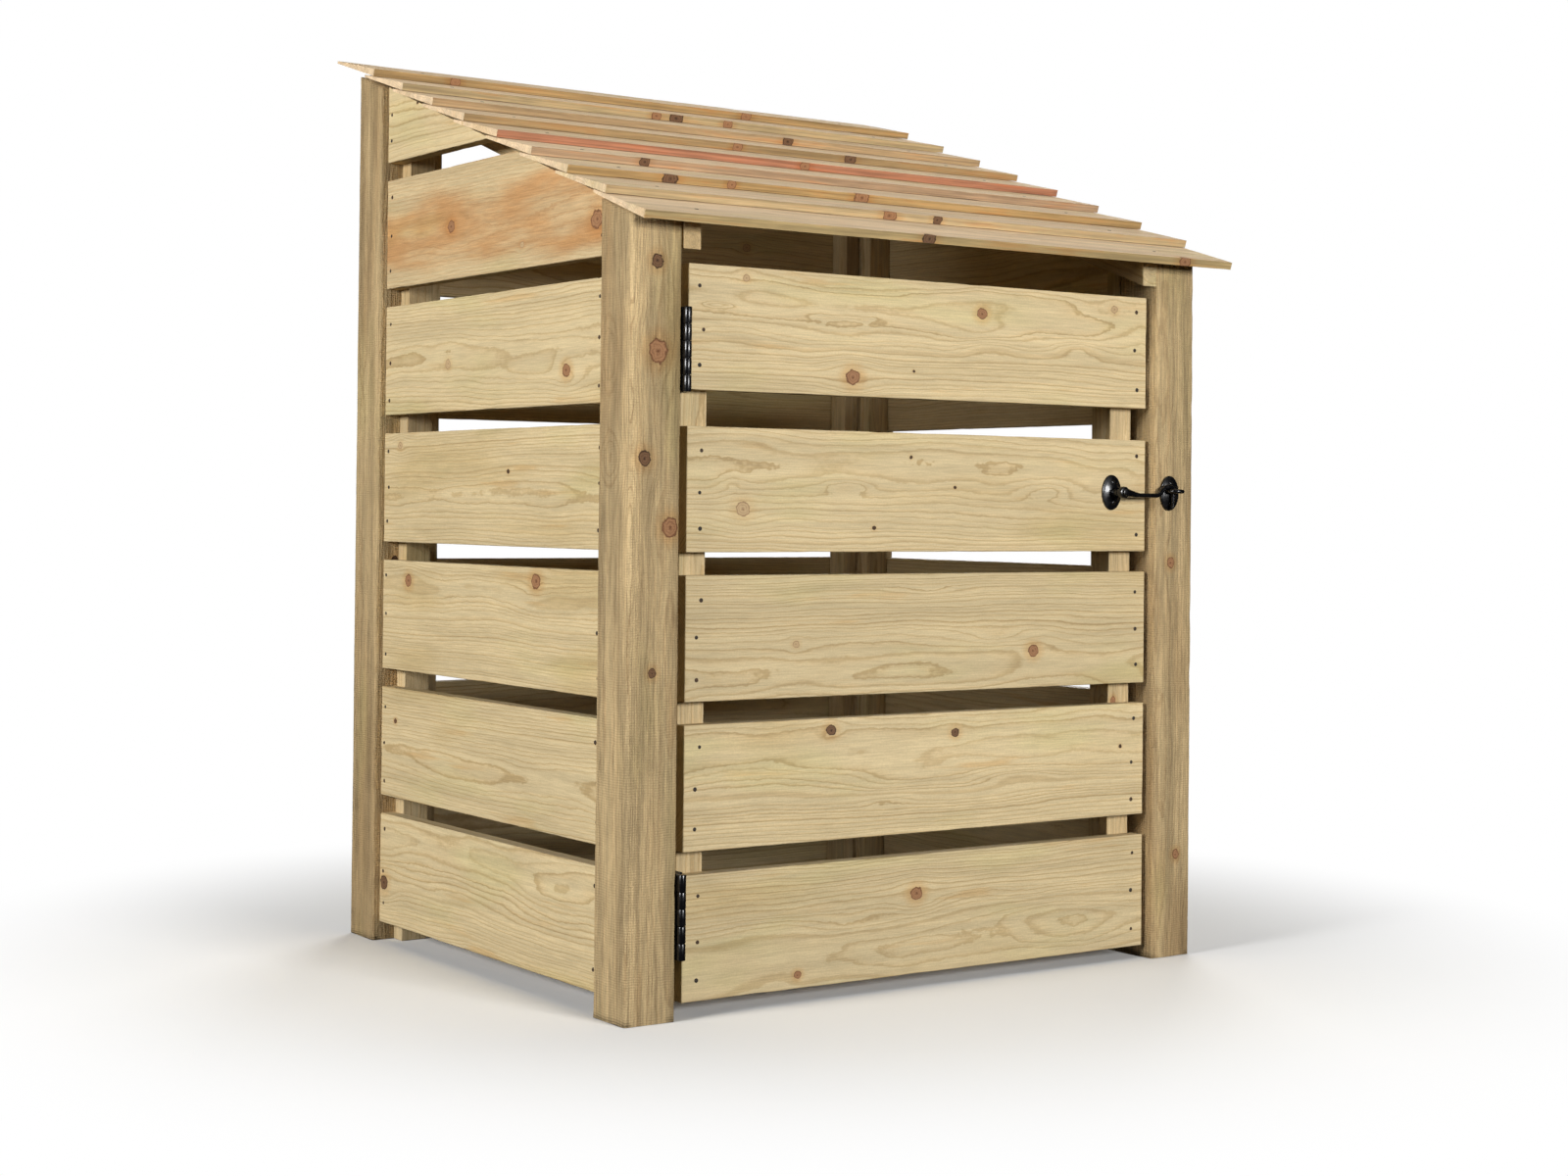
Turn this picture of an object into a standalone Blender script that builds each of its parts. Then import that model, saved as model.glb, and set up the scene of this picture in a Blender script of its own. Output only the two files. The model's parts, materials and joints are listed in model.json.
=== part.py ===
"""Slatted timber log store with a lapped board roof, a slatted door on butt hinges and a cabin hook.

Units are metres. +Z is up, the door faces -Y and its hinges are at -X.
The origin is on the ground under the middle of the roof.
"""
import math

import bmesh
import bpy
from mathutils import Matrix, Vector

# Frame
FRAME_WIDTH = 0.896
FRAME_DEPTH = 0.746
POST_WIDTH = 0.070
POST_DEPTH = 0.074
POST_ARRIS = 0.004
BATTEN_WIDTH = 0.038
BATTEN_THICKNESS = 0.025

# Boards
BOARD_HEIGHT = 0.150
BOARD_THICKNESS = 0.022
WALL_BOARD_COUNT = 7
BACK_BOARD_COUNT = 6
WALL_BOARD_FOOT = 0.026
WALL_BOARD_PITCH = 0.1746
ARRIS = 0.001

# Door
DOOR_SET_BACK = 0.013
DOOR_GAP_HINGE_SIDE = 0.0163
DOOR_GAP_HOOK_SIDE = 0.0058
DOOR_BOARD_FEET = (0.0175, 0.1944, 0.3713, 0.5482, 0.7407)
STILE_SIZE = 0.038
STILE_INSET_HINGE_SIDE = 0.0038
STILE_INSET_HOOK_SIDE = 0.0065
STILE_SHORTFALL = 0.010

# Roof
RAFTER_TOP_AT_FRONT = 0.945
ROOF_SLOPE = 0.3535
POST_TOP_DROP = 0.005
WALL_TOP_DROP = 0.003
ROOF_OVERHANG_LEFT = 0.009
ROOF_OVERHANG_RIGHT = 0.028
ROOF_OVERHANG_FRONT = 0.040
ROOF_BOARD_COUNT = 9
ROOF_BOARD_WIDTH = 0.125
ROOF_BOARD_STEP = 0.096
ROOF_BOARD_THICK_EDGE = 0.0105
ROOF_BOARD_THIN_EDGE = 0.004

# Butt hinges
HINGE_HEIGHT = 0.100
HINGE_FEET = (0.072, 0.737)
HINGE_LEAF_DEPTH = 0.0285
HINGE_RETURN_DEPTH = 0.024
HINGE_LEAF_THICKNESS = 0.0024
HINGE_AXIS_OFFSET = 0.0042
HINGE_AXIS_PROUD = 0.0045
KNUCKLE_COUNT = 5
POST_KNUCKLES = (0, 2, 4)
DOOR_KNUCKLES = (1, 3)
KNUCKLE_RADIUS = 0.005
KNUCKLE_BORE_RADIUS = 0.0027
KNUCKLE_CLEARANCE = 0.0004
PIN_RADIUS = 0.0024
BORE_OVERRUN = 1.2

# Cabin hook
LATCH_HEIGHT = 0.627
DOOR_ROSE_X = 0.7575
POST_ROSE_X = 0.8505
ROSE_HALF_HEIGHT = 0.0235
ROSE_HALF_WIDTH = 0.0165
ROSE_PROFILE = ((0.0, 0.0064), (0.24, 0.0062), (0.45, 0.0054), (0.64, 0.0042), (0.80, 0.0030),
                (0.90, 0.0027), (0.96, 0.0027), (1.0, 0.0018), (1.0, 0.0), (0.0, 0.0))
STAND_OFF = 0.0235
STUD_RADIUS = 0.0036
STUD_HEAD_RADIUS = 0.0050
STUD_HEAD_THICKNESS = 0.0024
STUD_HEAD_TAPER = 0.7
STUD_COLLAR_TAPER = 0.85
STUD_ROOT_DEPTH = 0.002
STUD_HEAD_OVERLAP = 0.001
HOOK_EYE_RADIUS = 0.0080
HOOK_EYE_BORE_RADIUS = 0.0041
HOOK_EYE_THICKNESS = 0.0110
HOOK_EYE_ROUNDING = 0.0022
HOOK_EYE_BORE_LENGTH = 0.04
HOOK_BAR_RADIUS = 0.0030
HOOK_NECK_START = 0.0063
HOOK_NECK_LENGTH = 0.026
HOOK_NECK_SWELL = 1.15
HOOK_NECK_FADE = 1.15
HOOK_BAR_DROP = 0.0035
HOOK_TIP_DROP = 0.0205
HOOK_TIP_TAPER = 0.35
HOOK_NECK_BEND = 0.008
HOOK_CRANK_BEND = 0.006
HOOK_CRANK_START = 0.016
HOOK_CRANK_END = 0.005
HOOK_TIP_OFFSET = 0.002
RING_RISE = 0.0025
RING_STAND_OFF = 0.013
RING_RADIUS = 0.0095
RING_WIRE_RADIUS = 0.0028
RING_SHANK_RADIUS = 0.0034
RING_SHANK_ROOT_DEPTH = 0.001

# Clearance between touching pieces, and how finely round pieces are divided and shaded
FIT_GAP = 0.0003
ROUND_SIDES = 24
POST_ARRIS_SEGMENTS = 3
BEND_STEPS = 5
ROD_SHARP_DEGREES = 40
CURVED_SHARP_DEGREES = 50
EYE_ROUNDING_DEGREES = 60
MERGE_DISTANCE = 0.00001
CUTTER_SIZE = 3.0

# Colours of the finishes
POST_TIMBER = ("post_timber", (0.46, 0.35, 0.21), 0.85, 0.0)
WALL_TIMBER = ("wall_timber", (0.62, 0.52, 0.32), 0.75, 0.0)
DOOR_TIMBER = ("door_timber", (0.66, 0.57, 0.36), 0.72, 0.0)
ROOF_TIMBER = ("roof_timber", (0.60, 0.45, 0.26), 0.85, 0.0)
BATTEN_TIMBER = ("batten_timber", (0.50, 0.40, 0.25), 0.85, 0.0)
BLACK_IRON = ("black_iron", (0.012, 0.012, 0.014), 0.35, 0.6)

SLOPE_ANGLE = math.atan(ROOF_SLOPE)
TALLEST = RAFTER_TOP_AT_FRONT + ROOF_SLOPE * FRAME_DEPTH


def roof_board_raise():
    """Return how far the front edge of each roof board stands above the rafters, front board first."""
    overlap = (ROOF_BOARD_WIDTH - ROOF_BOARD_STEP) / ROOF_BOARD_WIDTH
    thickness_at_lap = ROOF_BOARD_THIN_EDGE + (ROOF_BOARD_THICK_EDGE - ROOF_BOARD_THIN_EDGE) * overlap
    raises = [FIT_GAP]
    while len(raises) < ROOF_BOARD_COUNT:
        raises.append(thickness_at_lap + raises[-1] * overlap + FIT_GAP * (2 - overlap))
    return raises


def roof_board_section(index):
    """Return the four (y, z) corners of a roof board, measured from the front posts' face.

    The order is front bottom, rear bottom, rear top, front top.
    """
    up_slope = Vector((math.cos(SLOPE_ANGLE), math.sin(SLOPE_ANGLE)))
    square_to_slope = Vector((-up_slope.y, up_slope.x))
    front = -ROOF_OVERHANG_FRONT + index * ROOF_BOARD_STEP * up_slope.x
    foot = Vector((front, RAFTER_TOP_AT_FRONT + front * ROOF_SLOPE))
    front_bottom = foot + square_to_slope * roof_board_raise()[index]
    rear_bottom = foot + up_slope * ROOF_BOARD_WIDTH + square_to_slope * FIT_GAP
    return (front_bottom,
            rear_bottom,
            rear_bottom + square_to_slope * ROOF_BOARD_THIN_EDGE,
            front_bottom + square_to_slope * ROOF_BOARD_THICK_EDGE)


def roof_depth_limits():
    """Return the lowest and highest y of the roof, measured from the front posts' face."""
    corners = [corner for index in range(ROOF_BOARD_COUNT) for corner in roof_board_section(index)]
    return min(corner.x for corner in corners), max(corner.x for corner in corners)


# Places are measured from the ground under the front left corner of the frame, then moved by ORIGIN_SHIFT.
ROOF_FRONT, ROOF_REAR = roof_depth_limits()
ORIGIN_SHIFT = Vector((-(FRAME_WIDTH + ROOF_OVERHANG_RIGHT - ROOF_OVERHANG_LEFT) / 2,
                       -(ROOF_FRONT + ROOF_REAR) / 2,
                       0.0))

HINGE_AXIS = Vector((POST_WIDTH + HINGE_AXIS_OFFSET, -HINGE_AXIS_PROUD, 0.0))
STUD_CENTRE = Vector((DOOR_ROSE_X, DOOR_SET_BACK - STAND_OFF, LATCH_HEIGHT))
RING_CENTRE = Vector((POST_ROSE_X, -RING_STAND_OFF, LATCH_HEIGHT + RING_RISE))


def clear_scene():
    """Remove every object and collection that the scene starts with."""
    for obj in list(bpy.data.objects):
        bpy.data.objects.remove(obj, do_unlink=True)
    for collection in list(bpy.data.collections):
        bpy.data.collections.remove(collection)


def new_collection(name):
    """Return a new collection linked to the scene."""
    collection = bpy.data.collections.new(name)
    bpy.context.scene.collection.children.link(collection)
    return collection


def new_material(name, finish):
    """Return a Principled material in one of the finishes above."""
    colour, roughness, metallic = finish[1:]
    material = bpy.data.materials.new(name + "_" + finish[0])
    material.use_nodes = True
    shader = material.node_tree.nodes["Principled BSDF"]
    shader.inputs["Base Color"].default_value = (*colour, 1.0)
    shader.inputs["Roughness"].default_value = roughness
    shader.inputs["Metallic"].default_value = metallic
    material.diffuse_color = (*colour, 1.0)
    return material


class Workshop:
    """The two collections, and the ways a piece or a cutter is put into them."""

    def __init__(self):
        self.parts = new_collection("timber_log_store")
        self.cutters = new_collection("cutters")

    def add_piece(self, name, mesh, finish, place, parent=None):
        """Add a mesh as a finished piece. The place is in frame measure, the parent is a pivot or None."""
        obj = bpy.data.objects.new(name, mesh)
        mesh.materials.append(new_material(name, finish))
        self.parts.objects.link(obj)
        obj.location = Vector(place) + ORIGIN_SHIFT
        if parent is not None:
            obj.parent = parent
            obj.location -= pivot_place(parent)
        return obj

    def add_cutter(self, name, mesh, place, tilt=0.0):
        """Add a mesh that only cuts or joins other pieces."""
        obj = bpy.data.objects.new(name, mesh)
        self.cutters.objects.link(obj)
        obj.location = Vector(place) + ORIGIN_SHIFT
        obj.rotation_euler.x = tilt
        obj.display_type = "WIRE"
        obj.hide_render = True
        return obj

    def add_pivot(self, name, place, parent=None):
        """Add an empty on a joint's axis."""
        obj = bpy.data.objects.new(name, None)
        self.parts.objects.link(obj)
        obj.location = Vector(place) + ORIGIN_SHIFT
        if parent is not None:
            obj.parent = parent
            obj.location -= pivot_place(parent)
        return obj


def pivot_place(pivot):
    """Return a pivot's place in the world, through its parents."""
    place = Vector(pivot.location)
    while pivot.parent is not None:
        pivot = pivot.parent
        place += pivot.location
    return place


def box_mesh(name, size):
    """Return a box centred on its own origin."""
    mesh = bpy.data.meshes.new(name)
    bm = bmesh.new()
    bmesh.ops.create_cube(bm, size=1.0)
    bmesh.ops.scale(bm, vec=Vector(size), verts=bm.verts)
    bm.to_mesh(mesh)
    bm.free()
    return mesh


def prism_mesh(name, outline, height):
    """Return an upright prism on an outline of (x, y) points, from z = 0 up to its height."""
    mesh = bpy.data.meshes.new(name)
    count = len(outline)
    points = [(x, y, z) for z in (0.0, height) for x, y in outline]
    sides = [(i, (i + 1) % count, (i + 1) % count + count, i + count) for i in range(count)]
    ends = [tuple(reversed(range(count))), tuple(range(count, 2 * count))]
    mesh.from_pydata(points, [], sides + ends)
    return mesh


def rod_mesh(name, radius, length, axis="Z", end_radius=None, sides=ROUND_SIDES):
    """Return a cylinder or cone centred on its own origin, along the named axis."""
    turns = {"X": Matrix.Rotation(math.pi / 2, 4, "Y"),
             "Y": Matrix.Rotation(math.pi / 2, 4, "X"),
             "Z": Matrix.Identity(4)}
    mesh = bpy.data.meshes.new(name)
    bm = bmesh.new()
    bmesh.ops.create_cone(bm, cap_ends=True, segments=sides, radius1=radius,
                          radius2=radius if end_radius is None else end_radius, depth=length)
    bmesh.ops.transform(bm, matrix=turns[axis], verts=bm.verts)
    bm.to_mesh(mesh)
    bm.free()
    mesh.shade_smooth()
    mesh.set_sharp_from_angle(angle=math.radians(ROD_SHARP_DEGREES))
    return mesh


def bevel(obj, width, segments=1, only_upright=False):
    """Ease the edges of a piece, or only its upright ones."""
    if only_upright:
        weights = obj.data.attributes.new("bevel_weight_edge", "FLOAT", "EDGE")
        for edge in obj.data.edges:
            ends = [obj.data.vertices[index].co for index in edge.vertices]
            weights.data[edge.index].value = 1.0 if abs(ends[0].z - ends[1].z) > width else 0.0
    modifier = obj.modifiers.new("eased_edges", "BEVEL")
    modifier.width = width
    modifier.segments = segments
    modifier.limit_method = "WEIGHT" if only_upright else "ANGLE"


def cut(obj, cutter, operation="DIFFERENCE"):
    """Cut a piece with a cutter, or join the cutter to it."""
    modifier = obj.modifiers.new(cutter.name, "BOOLEAN")
    modifier.operation = operation
    modifier.solver = "EXACT"
    modifier.object = cutter


def add_box(shop, name, low, high, finish, parent=None, arris=ARRIS):
    """Add a box between two corners, in frame measure, with eased edges."""
    low, high = Vector(low), Vector(high)
    obj = shop.add_piece(name, box_mesh(name, high - low), finish, (low + high) / 2, parent)
    if arris:
        bevel(obj, arris)
    return obj


def add_slope_cutter(shop, name, drop):
    """Add a large tilted box whose underside lies a drop below the rafters' top line."""
    place = Vector((FRAME_WIDTH / 2, 0.0, RAFTER_TOP_AT_FRONT - drop))
    up = Vector((0.0, -math.sin(SLOPE_ANGLE), math.cos(SLOPE_ANGLE)))
    centre = place + up * CUTTER_SIZE / 2
    return shop.add_cutter(name, box_mesh(name, (CUTTER_SIZE,) * 3), centre, SLOPE_ANGLE)


def build_posts(shop):
    """Build the four corner posts, with their tops cut to the roof's slope."""
    top = add_slope_cutter(shop, "post_top_cutter", POST_TOP_DROP)
    for side, left in (("left", 0.0), ("right", FRAME_WIDTH - POST_WIDTH)):
        for end, front in (("front", 0.0), ("rear", FRAME_DEPTH - POST_DEPTH)):
            name = f"post_{end}_{side}"
            post = add_box(shop, name, (left, front, 0.0), (left + POST_WIDTH, front + POST_DEPTH, TALLEST),
                           POST_TIMBER, arris=0.0)
            bevel(post, POST_ARRIS, segments=POST_ARRIS_SEGMENTS, only_upright=True)
            cut(post, top)


def mirrored_span(low, high, side):
    """Return a left-hand span in x, or the same span mirrored to the right-hand side of the frame."""
    if side == "left":
        return low, high
    return FRAME_WIDTH - high, FRAME_WIDTH - low


def wall_board_spans():
    """Return the foot and head of each wall board, lowest first."""
    return [(WALL_BOARD_FOOT + index * WALL_BOARD_PITCH,
             WALL_BOARD_FOOT + index * WALL_BOARD_PITCH + BOARD_HEIGHT)
            for index in range(WALL_BOARD_COUNT)]


def build_side_walls(shop, wall_top):
    """Build the nailing battens in the corners and the boards of the two side walls."""
    batten_outer = POST_WIDTH - BATTEN_WIDTH
    board_inner = batten_outer - FIT_GAP
    front = POST_DEPTH + FIT_GAP
    rear = FRAME_DEPTH - POST_DEPTH - FIT_GAP
    for side in ("left", "right"):
        x_low, x_high = mirrored_span(batten_outer, POST_WIDTH, side)
        for end, y_low in (("front", front), ("rear", rear - BATTEN_THICKNESS)):
            batten = add_box(shop, f"side_batten_{end}_{side}", (x_low, y_low, 0.0),
                             (x_high, y_low + BATTEN_THICKNESS, TALLEST), BATTEN_TIMBER)
            cut(batten, wall_top)
        x_low, x_high = mirrored_span(board_inner - BOARD_THICKNESS, board_inner, side)
        for number, (foot, head) in enumerate(wall_board_spans(), start=1):
            board = add_box(shop, f"side_board_{side}_{number}", (x_low, front, foot), (x_high, rear, head),
                            WALL_TIMBER)
            if head > RAFTER_TOP_AT_FRONT:
                cut(board, wall_top)


def build_back_wall(shop, rafter_bed):
    """Build the back wall's two nailing battens and its boards, which leave the wall open under the roof."""
    board_outer = FRAME_DEPTH - (POST_WIDTH - BATTEN_WIDTH - BOARD_THICKNESS)
    board_inner = board_outer - BOARD_THICKNESS
    for side in ("left", "right"):
        x_low, x_high = mirrored_span(POST_WIDTH + FIT_GAP, POST_WIDTH + FIT_GAP + BATTEN_THICKNESS, side)
        batten = add_box(shop, f"back_batten_{side}", (x_low, board_inner - FIT_GAP - BATTEN_WIDTH, 0.0),
                         (x_high, board_inner - FIT_GAP, TALLEST), BATTEN_TIMBER)
        cut(batten, rafter_bed)
    x_low, x_high = POST_WIDTH + FIT_GAP, FRAME_WIDTH - POST_WIDTH - FIT_GAP
    for number, (foot, head) in enumerate(wall_board_spans()[:BACK_BOARD_COUNT], start=1):
        add_box(shop, f"back_board_{number}", (x_low, board_inner, foot), (x_high, board_outer, head),
                WALL_TIMBER)


def build_rafters(shop):
    """Build the two rafters, which run up the slope on the inner faces of the posts."""
    rear = FRAME_DEPTH - (POST_WIDTH - BATTEN_WIDTH) - FIT_GAP
    drop = BATTEN_WIDTH / math.cos(SLOPE_ANGLE)
    for side in ("left", "right"):
        x_low, x_high = mirrored_span(POST_WIDTH + FIT_GAP, POST_WIDTH + FIT_GAP + BATTEN_THICKNESS, side)
        place = Vector(((x_low + x_high) / 2, rear / 2, RAFTER_TOP_AT_FRONT - drop / 2))
        name = f"rafter_{side}"
        mesh = box_mesh(name, (BATTEN_THICKNESS, rear, drop))
        for vertex in mesh.vertices:
            vertex.co.z += ROOF_SLOPE * (vertex.co.y + rear / 2)
        bevel(shop.add_piece(name, mesh, BATTEN_TIMBER, place), ARRIS)


def build_roof(shop):
    """Build the lapped feather-edge boards, front board first."""
    x_low, x_high = -ROOF_OVERHANG_LEFT, FRAME_WIDTH + ROOF_OVERHANG_RIGHT
    for index in range(ROOF_BOARD_COUNT):
        section = roof_board_section(index)
        centre = sum(section, Vector((0.0, 0.0))) / len(section)
        name = f"roof_board_{index + 1}"
        mesh = box_mesh(name, (x_high - x_low, 1.0, 1.0))
        for vertex in mesh.vertices:
            rear, top = vertex.co.y > 0, vertex.co.z > 0
            corner = section[(2 if top else 1) if rear else (3 if top else 0)]
            vertex.co.y, vertex.co.z = corner - centre
        shop.add_piece(name, mesh, ROOF_TIMBER, ((x_low + x_high) / 2, centre.x, centre.y))


def build_door(shop, pivot):
    """Build the door's five boards and the two stiles behind them."""
    x_low = POST_WIDTH + DOOR_GAP_HINGE_SIDE
    x_high = FRAME_WIDTH - POST_WIDTH - DOOR_GAP_HOOK_SIDE
    for number, foot in enumerate(DOOR_BOARD_FEET, start=1):
        add_box(shop, f"door_board_{number}", (x_low, DOOR_SET_BACK, foot),
                (x_high, DOOR_SET_BACK + BOARD_THICKNESS, foot + BOARD_HEIGHT), DOOR_TIMBER, pivot)
    front = DOOR_SET_BACK + BOARD_THICKNESS + FIT_GAP
    stile_low = DOOR_BOARD_FEET[0] + STILE_SHORTFALL
    stile_high = DOOR_BOARD_FEET[-1] + BOARD_HEIGHT - STILE_SHORTFALL
    for side, left in (("hinge", x_low + STILE_INSET_HINGE_SIDE),
                       ("hook", x_high - STILE_INSET_HOOK_SIDE - STILE_SIZE)):
        add_box(shop, f"door_stile_{side}_side", (left, front, stile_low),
                (left + STILE_SIZE, front + STILE_SIZE, stile_high), BATTEN_TIMBER, pivot)


def flat_leaf_outline(x_low, front):
    """Return the outline of a flat hinge leaf."""
    x_high = x_low + HINGE_LEAF_THICKNESS
    return [(x_low, front), (x_high, front), (x_high, HINGE_LEAF_DEPTH), (x_low, HINGE_LEAF_DEPTH)]


def cranked_leaf_outline(x_low, front):
    """Return the outline of a leaf that crosses the gap to the door's edge, then runs back along it."""
    x_high = x_low + HINGE_LEAF_THICKNESS
    edge_high = POST_WIDTH + DOOR_GAP_HINGE_SIDE - FIT_GAP
    edge_low = edge_high - HINGE_LEAF_THICKNESS
    crossing_rear = DOOR_SET_BACK + HINGE_LEAF_THICKNESS
    rear = crossing_rear + HINGE_RETURN_DEPTH
    return [(x_low, front), (x_high, front), (x_high, DOOR_SET_BACK), (edge_high, DOOR_SET_BACK),
            (edge_high, rear), (edge_low, rear), (edge_low, crossing_rear), (x_low, crossing_rear)]


def build_hinge_leaf(shop, name, foot, x_low, knuckles, outline_of, parent=None):
    """Build one leaf of a hinge, with the knuckles in the list rolled onto its edge."""
    height = HINGE_HEIGHT / KNUCKLE_COUNT
    plate_front = HINGE_AXIS.y + KNUCKLE_RADIUS + KNUCKLE_CLEARANCE
    x_high = x_low + HINGE_LEAF_THICKNESS
    leaf = shop.add_piece(name, prism_mesh(name, outline_of(x_low, plate_front), HINGE_HEIGHT), BLACK_IRON,
                          (0.0, 0.0, foot), parent)
    for number in knuckles:
        low = foot + number * height + (KNUCKLE_CLEARANCE / 2 if number else 0.0)
        high = foot + (number + 1) * height - (KNUCKLE_CLEARANCE / 2 if number < KNUCKLE_COUNT - 1 else 0.0)
        middle = (low + high) / 2
        web_size = (HINGE_LEAF_THICKNESS, plate_front - HINGE_AXIS.y + KNUCKLE_CLEARANCE, high - low)
        web_place = ((x_low + x_high) / 2, HINGE_AXIS.y + web_size[1] / 2, middle)
        web = shop.add_cutter(f"{name}_web_{number}", box_mesh("web", web_size), web_place)
        barrel = shop.add_cutter(f"{name}_barrel_{number}", rod_mesh("barrel", KNUCKLE_RADIUS, high - low),
                                 (HINGE_AXIS.x, HINGE_AXIS.y, middle))
        cut(leaf, web, "UNION")
        cut(leaf, barrel, "UNION")
    bore_mesh = rod_mesh("bore", KNUCKLE_BORE_RADIUS, HINGE_HEIGHT * BORE_OVERRUN)
    bore = shop.add_cutter(f"{name}_bore", bore_mesh, (HINGE_AXIS.x, HINGE_AXIS.y, foot + HINGE_HEIGHT / 2))
    cut(leaf, bore)


def build_hinges(shop, pivot):
    """Build the two hinges: a flat leaf on the post, a cranked leaf on the door's edge and a pin each."""
    post_side = POST_WIDTH + FIT_GAP
    door_side = post_side + HINGE_LEAF_THICKNESS + FIT_GAP
    for level, foot in zip(("lower", "upper"), HINGE_FEET):
        build_hinge_leaf(shop, f"hinge_{level}_post_leaf", foot, post_side, POST_KNUCKLES, flat_leaf_outline)
        build_hinge_leaf(shop, f"hinge_{level}_door_leaf", foot, door_side, DOOR_KNUCKLES,
                         cranked_leaf_outline, pivot)
        name = f"hinge_{level}_pin"
        shop.add_piece(name, rod_mesh(name, PIN_RADIUS, HINGE_HEIGHT), BLACK_IRON,
                       (HINGE_AXIS.x, HINGE_AXIS.y, foot + HINGE_HEIGHT / 2))


def rose_mesh(shop, name):
    """Return the oval domed plate of the hook, with its back at y = 0 and its dome towards -Y."""
    mesh = bpy.data.meshes.new(name + "_profile")
    bm = bmesh.new()
    points = [bm.verts.new((radius * ROSE_HALF_HEIGHT, 0.0, height)) for radius, height in ROSE_PROFILE]
    for start, end in zip(points, points[1:]):
        bm.edges.new((start, end))
    bm.to_mesh(mesh)
    bm.free()
    turned = shop.add_cutter(name + "_profile", mesh, (0.0, 0.0, 0.0))
    screw = turned.modifiers.new("turned", "SCREW")
    screw.axis = "Z"
    screw.steps = 2 * ROUND_SIDES
    screw.render_steps = 2 * ROUND_SIDES
    screw.use_merge_vertices = True
    screw.merge_threshold = MERGE_DISTANCE
    evaluated = turned.evaluated_get(bpy.context.evaluated_depsgraph_get())
    rose = bpy.data.meshes.new_from_object(evaluated)
    rose.name = name
    bpy.data.objects.remove(turned, do_unlink=True)
    narrow = Matrix.Diagonal((ROSE_HALF_WIDTH / ROSE_HALF_HEIGHT, 1.0, 1.0, 1.0))
    rose.transform(Matrix.Rotation(math.pi / 2, 4, "X") @ narrow)
    rose.shade_smooth()
    rose.set_sharp_from_angle(angle=math.radians(CURVED_SHARP_DEGREES))
    return rose


def wire_mesh(shop, name, points, radii, cyclic=False):
    """Return a round wire through the points as one closed mesh, with a radius at each point."""
    curve = bpy.data.curves.new(name, "CURVE")
    curve.dimensions = "3D"
    curve.bevel_depth = 1.0
    curve.bevel_resolution = 3
    curve.use_fill_caps = not cyclic
    spline = curve.splines.new("POLY")
    spline.points.add(len(points) - 1)
    spline.use_cyclic_u = cyclic
    for spline_point, point, radius in zip(spline.points, points, radii):
        spline_point.co = (*point, 1.0)
        spline_point.radius = radius
    obj = shop.add_cutter(name, curve, (0.0, 0.0, 0.0))
    evaluated = obj.evaluated_get(bpy.context.evaluated_depsgraph_get())
    mesh = bpy.data.meshes.new_from_object(evaluated)
    bpy.data.objects.remove(obj, do_unlink=True)
    bm = bmesh.new()
    bm.from_mesh(mesh)
    bmesh.ops.remove_doubles(bm, verts=bm.verts, dist=MERGE_DISTANCE)
    bmesh.ops.recalc_face_normals(bm, faces=bm.faces)
    bm.to_mesh(mesh)
    bm.free()
    mesh.shade_smooth()
    mesh.set_sharp_from_angle(angle=math.radians(CURVED_SHARP_DEGREES))
    return mesh


def rounded_path(corners, steps=BEND_STEPS):
    """Return the corner points with each inner corner turned into a curve.

    Each corner is (x, z, radius), where the radius is how far from the corner the curve starts.
    """
    path = [Vector(corners[0][:2])]
    for before, corner, after in zip(corners, corners[1:], corners[2:]):
        middle = Vector(corner[:2])
        start = middle + (Vector(before[:2]) - middle).normalized() * corner[2]
        end = middle + (Vector(after[:2]) - middle).normalized() * corner[2]
        for step in range(steps + 1):
            t = step / steps
            path.append(start * (1 - t) ** 2 + middle * 2 * t * (1 - t) + end * t ** 2)
    path.append(Vector(corners[-1][:2]))
    return path


def build_hook_arm(shop, pivot):
    """Build the hook: an eye on the stud, a tapering neck, and a bar that turns down into the ring."""
    reach = RING_CENTRE.x - HOOK_TIP_OFFSET - STUD_CENTRE.x
    over_ring = RING_RISE + RING_WIRE_RADIUS + HOOK_BAR_RADIUS + FIT_GAP
    crank = reach - RING_RADIUS
    corners = ((HOOK_NECK_START, 0.0, 0.0),
               (HOOK_NECK_LENGTH, -HOOK_BAR_DROP, HOOK_NECK_BEND),
               (crank - HOOK_CRANK_START, -HOOK_BAR_DROP, HOOK_CRANK_BEND),
               (crank - HOOK_CRANK_END, over_ring, HOOK_CRANK_BEND),
               (reach, over_ring, HOOK_CRANK_BEND),
               (reach, -HOOK_TIP_DROP, 0.0))
    path = rounded_path(corners)
    radii = []
    for point in path:
        neck = max(0.0, 1.0 - point.x / (HOOK_NECK_LENGTH * HOOK_NECK_FADE))
        tip = max(0.0, -point.y / HOOK_TIP_DROP) if point.x > reach - HOOK_BAR_RADIUS else 0.0
        radii.append(HOOK_BAR_RADIUS * (1.0 + HOOK_NECK_SWELL * neck - HOOK_TIP_TAPER * tip))
    bar = shop.add_cutter("hook_bar", wire_mesh(shop, "hook_bar", [(p.x, 0.0, p.y) for p in path], radii),
                          STUD_CENTRE)
    hook = shop.add_piece("latch_hook", rod_mesh("latch_hook", HOOK_EYE_RADIUS, HOOK_EYE_THICKNESS, "Y"),
                          BLACK_IRON, STUD_CENTRE, pivot)
    bevel(hook, HOOK_EYE_ROUNDING, segments=2)
    hook.modifiers[-1].angle_limit = math.radians(EYE_ROUNDING_DEGREES)
    cut(hook, bar, "UNION")
    bore = shop.add_cutter("hook_eye_bore",
                           rod_mesh("hook_eye_bore", HOOK_EYE_BORE_RADIUS, HOOK_EYE_BORE_LENGTH, "Y"),
                           STUD_CENTRE)
    cut(hook, bore)


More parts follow.
